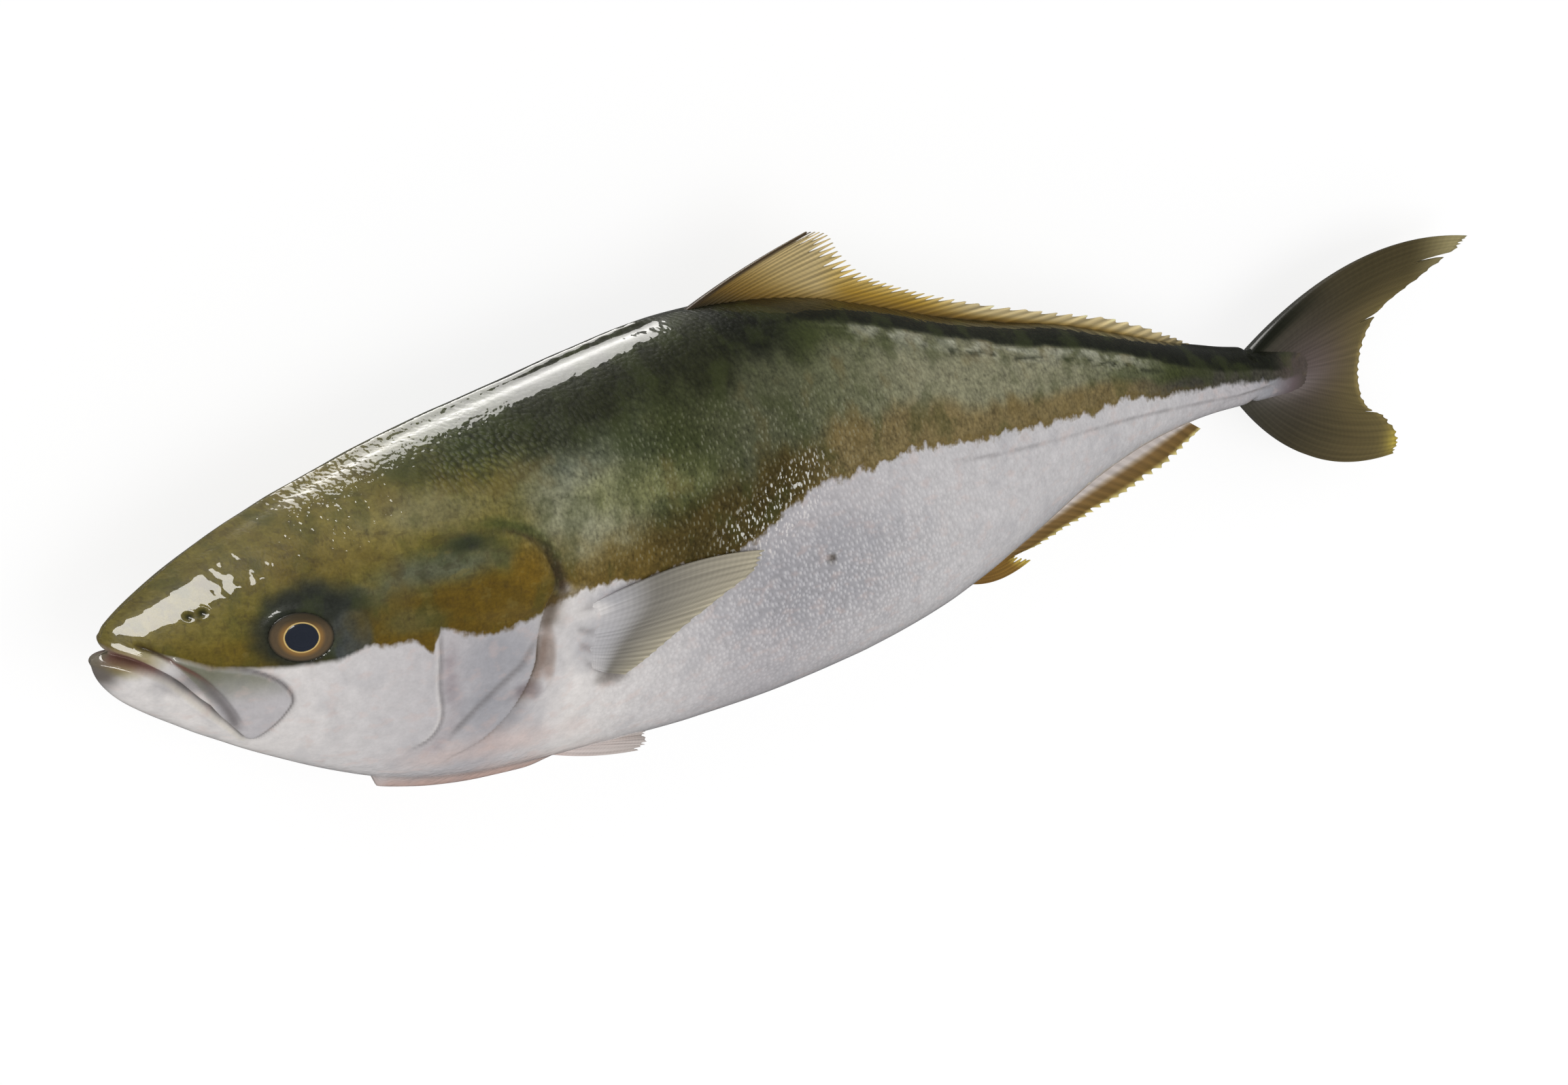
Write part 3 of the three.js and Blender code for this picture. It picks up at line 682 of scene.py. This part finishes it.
def fin_grid(fin, seed):
    """The fin's u and v at each place of its sheet. The margin is frayed between the rays."""
    rng = np.random.default_rng(seed)
    columns = fin["rays"] * SAMPLES_PER_RAY
    u = np.linspace(0, 1, columns + 1)
    wave = 0.5 - 0.5 * np.cos(2 * np.pi * fin["rays"] * u)
    ragged = rng.uniform(0.3, 1, fin["rays"] + 2)[(u * fin["rays"]).astype(int)]
    edge = 1 - fin["fray"] * ragged * wave ** 0.7 * inner(u, 0.04)
    for place, depth, width in fin["slits"]:
        edge -= depth * bump(u - place, width)
    v = np.linspace(0, 1, FIN_STEPS + 1)[None, :] * edge[:, None]
    return np.broadcast_to(u[:, None], v.shape), v


def rib_height(fin, u, v):
    """How far the rays stand over the web between them."""
    ray = (0.5 + 0.5 * np.cos(2 * np.pi * fin["rays"] * u)) ** 1.6
    branch = (0.5 + 0.5 * np.cos(4 * np.pi * fin["rays"] * u)) ** 1.6
    split = smooth(0.45, 0.9, v)
    return fin["rib"] * (ray * (1 - split) + 0.7 * branch * split) * smooth(0, 0.15, v)


def sheet_mesh(upper, lower):
    """A closed sheet between two faces on the same grid."""
    rows, columns = upper.shape[:2]
    count = rows * columns
    index = np.arange(count).reshape(rows, columns)
    a, b, c, d = index[:-1, :-1], index[1:, :-1], index[1:, 1:], index[:-1, 1:]
    top = np.concatenate([np.stack([a, b, c], -1), np.stack([a, c, d], -1)]).reshape(-1, 3)
    rim = np.concatenate([index[:, 0], index[-1, 1:], index[-2::-1, -1], index[0, -2:0:-1]])
    ahead = np.roll(rim, -1)
    wall = np.concatenate([np.stack([ahead, rim, rim + count], -1),
                           np.stack([ahead, rim + count, ahead + count], -1)])
    points = np.concatenate([upper.reshape(-1, 3), lower.reshape(-1, 3)])
    return points, np.concatenate([top, top[:, ::-1] + count, wall])


def make_fin(name, fin, upper, lower, paint, u, v, material):
    points, faces = sheet_mesh(upper, lower)
    ray = np.stack([u * fin["rays"], v, np.zeros_like(u)], -1).reshape(-1, 3)
    piece = make_mesh(name, points, faces, material, paint=np.tile(painted(paint), (2, 1)),
                      ray=np.tile(ray, (2, 1)))
    part_of_fish(piece, "fin", "fish")


def standing_fin(name, fin, paint, material, seed, aside=0):
    """A fin on the middle plane, or a pelvic fin a little to one side of it."""
    u, v = fin_grid(fin, seed)
    side = fin_side(fin, u, v)
    half = fin_thickness(fin, v) / 2 + rib_height(fin, u, v)
    sway = FIN_SWAY * np.sin(u * 9 + seed) * v ** 2 + FIN_CRUMPLE * cloud(u * 60, v * 4, 3, seed) * v
    middle = sag(side[..., 0]) + aside + sway
    upper, lower = (np.concatenate([side, (middle + s * half)[..., None]], -1) for s in (1, -1))
    make_fin(name, fin, upper, lower, paint(u, v, side), u, v, material)


def pectoral_fin(name, side, material, seed):
    """A pectoral fin, folded back along its flank. The right one is pressed flat where the fish rests."""
    fin = PECTORAL
    u, v = fin_grid(fin, seed)
    flat = fin_side(fin, u, v)
    lift = fin["lift"] * smooth(0, 0.4, v) + fin["billow"] * np.sin(np.pi * v) * u
    place = flank_depth(flat[..., 0], flat[..., 1]) + lift - fin["sunk"] * (1 - smooth(0, 0.36, v))
    half = fin_thickness(fin, v) / 2
    rib = rib_height(fin, u, v) * smooth(0.1, 0.4, v)
    outer, inside = place + half + rib, place - half - 0.4 * rib
    if side < 0:
        outer = np.maximum(-outer, -REST_DEPTH)
        inside = np.maximum(-inside, -REST_DEPTH + fin["pressed"])
    upper, lower = (np.concatenate([flat, depth[..., None]], -1) for depth in (outer, inside))
    make_fin(name, fin, upper, lower, pectoral_paint(u, v, flat), u, v, material)


def streaked(paint, fin, u, depth, seed):
    """A fin's paint, with uneven light and dark from ray to ray."""
    turns = fin["rays"] * u
    stripes = 0.6 * np.cos(2 * np.pi * turns) + 0.4 * cloud(turns * 3, 0 * u, 1, seed)
    return paint * (1 + depth * stripes)[..., None]


def dorsal_paint(u, v, side):
    x = side[..., 0]
    paint = over(blend(DORSAL_BANDS, v), (WHEAT, 0.7 * smooth(0.3, 0.7, v) * smooth(392, 370, x)),
                 (LINEN, 0.7 * smooth(0.3, 0.7, v) * smooth(425, 468, x)),
                 (WALNUT, 0.9 * smooth(0.045, 0.015, u)), (LOAM, 0.5 * smooth(0.85, 1, u)))
    return streaked(paint, SECOND_DORSAL, u, 0.32 * v, 31)


def anal_paint(u, v, side):
    paint = over(blend(ANAL_BANDS, v), (blend(ANAL_LOBE_BANDS, v), smooth(0.26, 0.16, u)))
    return streaked(paint, ANAL, u, 0.14 * v, 32)


def caudal_paint(u, v, side):
    x, y = side[..., 0], side[..., 1]
    paint = over(blend(CAUDAL_BANDS, v), (PLUM, 0.7 * bump(x - 690, 28) * bump(y - 2, 22)),
                 (FOG, 0.6 * bump(x - 672, 22) * bump(y + 6, 7)),
                 (PITCH, 0.85 * smooth(0.12, 0.03, u) * smooth(0.42, 0.1, v)),
                 (PEAT, 0.6 * smooth(0.3, 0.12, u) * smooth(0.3, 0.6, v)),
                 (STRAW, 0.7 * smooth(0.92, 1, v) * between(0.2, 0.45, 0.7, 0.9, u)),
                 (CORN, 0.9 * bump(x - 764, 10) * bump(y + 57, 10)), (SAND, 0.8 * smooth(766, 812, x)))
    return streaked(paint, CAUDAL, u, 0.06, 33)


def pelvic_paint(u, v, side):
    return streaked(blend(PELVIC_BANDS, v), PELVIC, u, 0.06, 34)


def pectoral_paint(u, v, side):
    """The fin's root has the colours of the skin that it grows out of."""
    skin = pale_paint(side[..., 0], side[..., 1])
    paint = over(skin, (blend(PECTORAL_BANDS, v), smooth(0.14, 0.5, v)))
    return streaked(paint, PECTORAL, u, 0.14 * v, 35)


def build_fins(material):
    standing_fin("dorsal_fin", SECOND_DORSAL, dorsal_paint, material, 1)
    standing_fin("anal_fin", ANAL, anal_paint, material, 2)
    standing_fin("caudal_fin", CAUDAL, caudal_paint, material, 3)
    for side, word in ((1, "left"), (-1, "right")):
        standing_fin("pelvic_fin_" + word, PELVIC, pelvic_paint, material, 4, side * PELVIC["aside"])
        pectoral_fin("pectoral_fin_" + word, side, material, 5)


# ---------------------------------------------------------------- eyes

EYE_RINGS, EYE_SPOKES = 40, 96
EYE_DEPTH = 4.5
PUPIL = dict(long=7.4, high=6.3, bulge=0.35)

# Added to an eye's colour places on its deep side, so that they lie far outside its iris.
HIDDEN = 9


def eye_axes():
    """The eye's middle on the skin, and its long, high and outward directions on the left side."""
    x, y, reach = EYE["x"], EYE["y"], 4
    depth = flank_depth(np.array(float(x)), np.array(float(y)))
    forward = np.array([-reach, 0, flank_depth(np.array(x - reach), np.array(y)) - depth], float)
    upward = np.array([0, reach, flank_depth(np.array(x), np.array(y + reach)) - depth], float)
    out = np.cross(upward, forward)
    out /= np.linalg.norm(out)
    long = -forward / np.linalg.norm(forward)
    turn = Matrix.Rotation(EYE["tip"], 3, Vector(out))
    long = np.array(turn @ Vector(long))
    return np.array([x, y, float(depth)]), long, np.cross(out, long), out


def build_eye(name, side, material):
    """An eye: a shallow dome whose middle bulges over the pupil, closed by its deep side."""
    centre, long, high, out = eye_axes()
    r = np.linspace(0, 1, EYE_RINGS + 1)[1:, None]
    turn = 2 * np.pi * np.arange(EYE_SPOKES) / EYE_SPOKES
    across, up = r * np.cos(turn), r * np.sin(turn)
    rise = EYE["rim"] + (EYE["proud"] - EYE["rim"]) * (1 - r ** 2.4) + 0 * turn
    pupil = np.hypot(across * EYE["long"] / PUPIL["long"], up * EYE["high"] / PUPIL["high"])
    rise = rise + PUPIL["bulge"] * (1 - smooth(0.6, 1.25, pupil)) - 0.18 * bump(pupil - 1.02, 0.06)

    def place(a, b, h):
        flat = a[..., None] * long * EYE["long"] + b[..., None] * high * EYE["high"]
        return centre + flat + h[..., None] * out

    dome = place(across, up, rise)
    deep = place(across[::-1], up[::-1], -EYE_DEPTH + 2.6 * r[::-1] ** 3 + 0 * across)
    points = np.concatenate([dome.reshape(-1, 3), deep.reshape(-1, 3),
                             [centre + out * (EYE["proud"] + PUPIL["bulge"]), centre - out * EYE_DEPTH]])
    if side < 0:
        points = points * (1, 1, -1)

    def both_sides(values, far):
        return np.concatenate([values.ravel(), values[::-1].ravel() + far, [0, far]])

    iris = np.stack([both_sides(pupil, HIDDEN), both_sides(r + 0 * turn, HIDDEN), both_sides(up, 0)], -1)
    piece = make_mesh(name, points, tube_faces(2 * EYE_RINGS, EYE_SPOKES), material, iris=iris)
    part_of_fish(piece, "eye", name)


# ---------------------------------------------------------------- materials

class Graph:
    """A material's nodes, made by short calls. A value is a socket, a number or a colour."""

    def __init__(self, name):
        self.material = bpy.data.materials.new(name)
        self.material.use_nodes = True
        self.tree = self.material.node_tree
        self.tree.nodes.clear()

    def plug(self, socket, value):
        if isinstance(value, bpy.types.NodeSocket):
            self.tree.links.new(value, socket)
        else:
            socket.default_value = value

    def new(self, kind, **inputs):
        """A node, with values on the inputs that are named."""
        made = self.tree.nodes.new("ShaderNode" + kind)
        for key, value in inputs.items():
            self.plug(made.inputs[key.replace("_", " ")], value)
        return made

    def node(self, kind, *values, out=0, **settings):
        """The output of a node, with values on its first inputs."""
        made = self.new(kind)
        for key, value in settings.items():
            setattr(made, key, value)
        for socket, value in zip(made.inputs, values):
            self.plug(socket, value)
        return made.outputs[out]

    def attribute(self, name, out="Color"):
        return self.node("Attribute", attribute_name=name, out=out)

    def math(self, operation, *values):
        return self.node("Math", *values, operation=operation)

    def chain(self, operation, total, *others):
        for value in others:
            total = self.math(operation, total, value)
        return total

    def add(self, *values):
        return self.chain("ADD", *values)

    def times(self, *values):
        return self.chain("MULTIPLY", *values)

    def scaled(self, value, factor, plus):
        return self.math("MULTIPLY_ADD", value, factor, plus)

    def noise(self, vector, scale, detail, stretch=(1, 1, 1)):
        """Noise from about -1 to 1, with scale in patches for each millimetre."""
        place = self.node("VectorMath", vector, tuple(scale * s for s in stretch), operation="MULTIPLY")
        made = self.new("TexNoise", Vector=place, Scale=1, Detail=detail)
        return self.scaled(made.outputs["Fac"], NOISE_GAIN, -NOISE_GAIN / 2)

    def step(self, value, start, end):
        """0 before start and 1 after end, with a smooth rise between."""
        return self.node("MapRange", value, start, end, 0, 1, interpolation_type="SMOOTHSTEP")

    def mix(self, factor, first, second):
        made = self.new("Mix")
        made.data_type = "RGBA"
        for index, value in ((0, factor), (6, first), (7, second)):
            if isinstance(value, tuple):
                value = (*linear(value), 1)
            self.plug(made.inputs[index], value)
        return made.outputs[2]

    def over(self, base, *coats):
        """A colour with coats laid over it in turn, each a colour and its weight."""
        for colour, weight in coats:
            base = self.mix(weight, base, colour)
        return base

    def tone(self, colour, factor):
        """A colour made lighter or darker by a factor."""
        made = self.node("VectorMath", colour, operation="SCALE")
        self.plug(made.node.inputs["Scale"], factor)
        return made

    def relief(self, height):
        """The normal of a relief whose height is in millimetres."""
        return self.new("Bump", Strength=1, Distance=0.001, Height=height).outputs[0]

    def shader(self, **values):
        self.new("OutputMaterial", Surface=self.new("BsdfPrincipled", **values).outputs[0])
        return self.material


NOISE_GAIN = 2.6
SCALE_LENGTH, SCALE_HEIGHT = 2.5, 3.1
SCALE_DISORDER = 0.78
RAY_JOINTS = 34


def scale_pattern(g, flow):
    """Staggered scales: raised middles, strokes of painted glint, strokes of painted shade beside them, a
    chance number each.
    """
    place = g.node("SeparateXYZ", flow).node.outputs
    drift = g.noise(flow, 0.05, 1)
    along = g.math("DIVIDE", g.scaled(drift, 2.4, place[0]), SCALE_LENGTH)
    across = g.math("DIVIDE", g.scaled(drift, -3, place[1]), SCALE_HEIGHT)
    lattice = g.node("CombineXYZ", g.scaled(across, 0.5, along), across, 0)
    cells = g.new("TexVoronoi", Vector=lattice, Scale=1, Randomness=SCALE_DISORDER)
    cells.voronoi_dimensions = "2D"
    inside = g.node("VectorMath", lattice, cells.outputs["Position"], operation="SUBTRACT")
    from_middle = g.node("SeparateXYZ", inside).node.outputs
    sideways = g.scaled(from_middle[1], -0.5, from_middle[0])
    upright = g.step(g.math("ABSOLUTE", from_middle[1]), 0.38, 0.12)
    bright = g.times(g.step(g.math("ABSOLUTE", sideways), 0.24, 0.06), upright)
    shaded = g.times(g.step(g.math("ABSOLUTE", g.add(sideways, -0.34)), 0.22, 0.06), upright)
    dome = g.step(cells.outputs["Distance"], 0.62, 0.1)
    chance = g.node("SeparateColor", cells.outputs["Color"])
    return dome, bright, shaded, chance


def skin_material():
    g = Graph("wet_skin")
    flow = g.attribute("flow", out="Vector")
    scaly, edge, ragged, glints, beads, ripple = (
        g.attribute(name, out="Fac") for name in ("scaly", "edge", "ragged", "glints", "beads", "ripple"))
    dome, stroke, shaded, chance = scale_pattern(g, flow)

    broad = g.noise(flow, 0.03, 3)
    tint = g.noise(flow, 0.06, 6, stretch=(1, 0.7, 1))
    cloudy = g.noise(flow, 0.16, 6, stretch=(0.7, 1, 1))
    swell = g.noise(flow, 0.12, 1)
    mottle = g.noise(flow, 0.11, 5)
    blotch = g.noise(flow, 0.22, 4)
    fine = g.noise(flow, 0.7, 3)
    grain = g.noise(flow, 2.4, 2)
    fringe = g.noise(flow, 0.13, 3, stretch=(1, 0.35, 1))
    tooth = g.noise(flow, 0.5, 2, stretch=(1, 0.4, 1))
    hair = g.noise(flow, 0.75, 2, stretch=(1, 0.35, 1))
    ruffle = g.noise(flow, 0.3, 1)
    uneven = g.add(g.times(fringe, 2.9), g.times(mottle, 2.4), g.times(blotch, 1.6), g.times(tooth, 1.4))
    over_edge = g.add(edge, g.times(uneven, ragged))
    upper = g.step(over_edge, -1.6, 1.6)
    rim = g.times(g.step(over_edge, -2.5, 0), g.step(over_edge, 4, 1), g.step(ragged, 0.6, 1.1))

    each = g.times(g.add(chance, -0.5), scaly)
    lift = g.times(g.add(dome, -0.4), scaly)
    shiny = g.times(scaly, g.step(glints, 0, 0.4))
    spread = g.step(g.add(chance, g.times(fine, 0.4), g.times(blotch, 0.6), g.times(hair, 0.4)), 0, 1.2)
    # Flecks of painted glint along the dark edge, where the scales catch the light.
    glint_flecks = g.step(g.add(hair, g.times(stroke, 0.5), g.times(blotch, 0.4)), 0.25, 0.55)
    cluster = g.times(glint_flecks, scaly, g.step(glints, 0.4, 0.85))
    # The tone varies at random, with painted shading on the scales: lighter over their raised middles and
    # beads, and darker in the painted shade beside each glint stroke.
    shade = g.add(1.04, g.times(broad, 0.14), g.times(mottle, 0.24), g.times(blotch, 0.2),
                  g.times(fine, 0.3), g.times(each, 0.24), g.times(lift, g.scaled(beads, 0.6, 0.2)),
                  g.times(shaded, shiny, -0.3), g.times(hair, scaly, 0.34))
    paint = g.attribute("dark")
    light = g.step(g.node("RGBToBW", paint), 0.04, 0.12)
    bare = g.times(light, g.math("SUBTRACT", 1, scaly))
    dark = g.over(
        g.tone(paint, shade), (MOSS_TINT, g.times(g.step(tint, 0.02, 0.34), 0.4)),
        (OCHRE, g.times(g.step(tint, -0.1, -0.45), light, 0.3)),
        (BARK, g.times(g.step(cloudy, 0.12, 0.34), bare, 0.3)),
        (HONEY, g.times(g.step(cloudy, -0.2, -0.42), bare, 0.3)),
        (BARK, g.times(g.step(tooth, 0.2, 0.5), bare, 0.3)),
        # Painted glints: faint ones on the scale strokes and bright flecks along the dark edge.
        (FAINT_GLINT, g.times(stroke, shiny, spread, 0.45)), (GLINT, g.times(cluster, 0.9)),
        (OCHRE, g.times(rim, 0.45)))

    # On the pale side too the tone varies at random, with painted shading lighter over the scales' raised
    # middles and darker beside their strokes.
    shade = g.add(1, g.times(broad, 0.03), g.times(mottle, 0.08), g.times(blotch, 0.07),
                  g.times(fine, 0.07), g.times(lift, g.scaled(beads, 0.32, 0.04)), g.times(each, 0.07),
                  g.times(shaded, scaly, g.scaled(beads, -0.14, -0.05)))
    paint = g.attribute("pale")
    light = g.step(g.node("RGBToBW", paint), 0.12, 0.35)
    # Painted glints on the pale side's scale strokes, and in flecks along the dark edge.
    pale = g.over(
        g.tone(paint, shade), (STEEL, g.times(g.step(tint, -0.05, 0.5), light, 0.24)),
        (BLUSH, g.times(g.step(cloudy, -0.05, -0.5), light, 0.22)),
        (GLINT, g.times(stroke, scaly, spread, g.scaled(beads, 0.3, 0.06))),
        (MILK, g.times(cluster, 0.7)))

    height = g.add(g.times(lift, g.scaled(beads, 0.22, 0.1)), g.times(fine, 0.05), g.times(grain, 0.014),
                   g.times(mottle, 0.14))
    film = g.add(g.times(swell, 0.12), g.times(ruffle, ripple, 0.16), g.times(lift, 0.006))
    return g.shader(
        Base_Color=g.mix(upper, pale, dark), Roughness=g.scaled(fine, 0.06, 0.45),
        Normal=g.relief(height), Specular_IOR_Level=0.12, Coat_Weight=1.0, Coat_Roughness=0.02,
        Coat_IOR=1.4, Coat_Normal=g.relief(film))


def fin_material():
    g = Graph("fin_web")
    ray = g.attribute("ray", out="Vector")
    streak = g.noise(ray, 2.6, 3, stretch=(1, 0.9, 1))
    joint = g.math("COSINE", g.times(g.node("SeparateXYZ", ray, out=1), 2 * math.pi * RAY_JOINTS))
    colour = g.tone(g.attribute("paint"), g.add(1, g.times(streak, 0.2), g.times(joint, 0.03)))
    height = g.add(g.times(streak, 0.12), g.times(joint, 0.02))
    return g.shader(Base_Color=colour, Roughness=g.scaled(streak, 0.08, 0.5), Normal=g.relief(height),
                    Specular_IOR_Level=0.15, Coat_Weight=0.4, Coat_Roughness=0.15, Coat_IOR=1.4)


def eye_material():
    g = Graph("eye_wet")
    iris = g.attribute("iris", out="Vector")
    pupil, reach, height = g.node("SeparateXYZ", iris).node.outputs
    speck = g.noise(iris, 7, 3)
    uneven = g.scaled(speck, 0.02, pupil)
    colour = g.mix(g.step(uneven, 1.12, 1.5), IRIS_INNER, IRIS_OUTER)
    colour = g.mix(g.step(height, 0.15, 0.85), colour, IRIS_SHADE)
    colour = g.mix(g.times(g.step(reach, 0.88, 1), 0.8), colour, LEAD)
    colour = g.mix(g.step(uneven, 1.03, 1.12), EYE_RING, colour)
    colour = g.mix(g.step(uneven, 0.97, 1.03), PUPIL_BLUE, colour)
    colour = g.tone(colour, g.scaled(speck, 0.12, 1))
    return g.shader(Base_Color=colour, Roughness=g.scaled(speck, 0.03, 0.3),
                    Normal=g.relief(g.times(speck, 0.02)), Specular_IOR_Level=0.1, Coat_Weight=1.0,
                    Coat_Roughness=0.03, Coat_IOR=1.38)


# ---------------------------------------------------------------- floor, light and camera

FLOOR_HALF, FLOOR_DROP = 4.5, 0.0004
FLOOR_GREY, FLOOR_GLOW = (0.24, 0.24, 0.24, 1), 0.8
WHITE, BLACK, PANEL_WHITE = (1, 1, 1, 1), (0, 0, 0, 1), (1, 0.98, 0.95, 1)


def stage_sheet(name, corners, material, *hidden_from):
    """A flat sheet of the studio, from its corners in metres, and the kinds of ray that miss it."""
    mesh = bpy.data.meshes.new(name)
    mesh.from_pydata(corners, [], [list(range(len(corners)))])
    mesh.materials.append(material)
    sheet = add_object(name, mesh)
    for rays in hidden_from:
        setattr(sheet, "visible_" + rays, False)


def build_floor():
    signs = ((-1, -1), (1, -1), (1, 1), (-1, 1))
    corners = [(x * FLOOR_HALF, y * FLOOR_HALF, -FLOOR_DROP) for x, y in signs]
    material = Graph("pale_floor").shader(Base_Color=FLOOR_GREY, Roughness=0.9, Emission_Color=WHITE,
                                          Emission_Strength=FLOOR_GLOW)
    stage_sheet("floor", corners, material, "glossy", "shadow")


WORLD_LIGHT, WORLD_IN_GLOSS = 0.62, 0.08
OVERHEAD_PLACE, OVERHEAD_SIZE, OVERHEAD_POWER = (0.2, -0.3, 1.7), (1.5, 1.2), 8

# Panels beyond the fish's back that only its wet film mirrors: brightness, then corners as x and z.
PANEL_DISTANCE = 1500
PANELS = {
    "snout_panel": (16, [(-430, 2100), (-430, 380), (-600, 300), (-900, 120), (-1200, -300),
                         (-1650, -300), (-1650, 2100)]),
    "back_panel": (10, [(30, 110), (750, -450), (900, -1300), (1050, -1900), (1200, -2500),
                        (700, -2700), (60, -1750)]),
}


def build_light():
    world = bpy.data.worlds.new("studio")
    bpy.context.scene.world = world
    world.use_nodes = True
    nodes, links = world.node_tree.nodes, world.node_tree.links
    path = nodes.new("ShaderNodeLightPath")
    share = nodes.new("ShaderNodeMapRange")
    share.inputs["To Min"].default_value = WORLD_LIGHT
    share.inputs["To Max"].default_value = WORLD_IN_GLOSS
    links.new(path.outputs["Is Glossy Ray"], share.inputs["Value"])
    background = nodes["Background"]
    background.inputs["Color"].default_value = WHITE
    links.new(share.outputs[0], background.inputs["Strength"])
    light = bpy.data.lights.new("overhead", "AREA")
    light.shape = "RECTANGLE"
    light.size, light.size_y = OVERHEAD_SIZE
    light.energy = OVERHEAD_POWER
    overhead = add_object("overhead", light)
    overhead.location = OVERHEAD_PLACE
    overhead.visible_glossy = False
    for name, (brightness, outline) in PANELS.items():
        corners = [in_frame((x, PANEL_DISTANCE, z)).tolist() for x, z in outline]
        material = Graph(name).shader(Base_Color=BLACK, Emission_Color=PANEL_WHITE,
                                      Emission_Strength=brightness)
        stage_sheet(name, corners, material, "camera", "diffuse", "shadow")
    bpy.context.scene.view_settings.view_transform = "Standard"


def build_camera():
    place, aim = (Vector(in_frame(point)) for point in (CAMERA_PLACE, CAMERA_AIM))
    back = (place - aim).normalized()
    right = Vector(CAMERA_UP).cross(back).normalized()
    data = bpy.data.cameras.new("camera")
    data.lens = CAMERA_LENS
    data.sensor_width = SENSOR_WIDTH
    camera = add_object("camera", data)
    turn = Matrix((right, back.cross(right), back)).transposed().to_4x4()
    camera.matrix_world = Matrix.Translation(place) @ turn
    bpy.context.scene.camera = camera


build_body(skin_material())
build_fins(fin_material())
eye_finish = eye_material()
build_eye("eye_left", 1, eye_finish)
build_eye("eye_right", -1, eye_finish)
build_floor()
build_light()
build_camera()
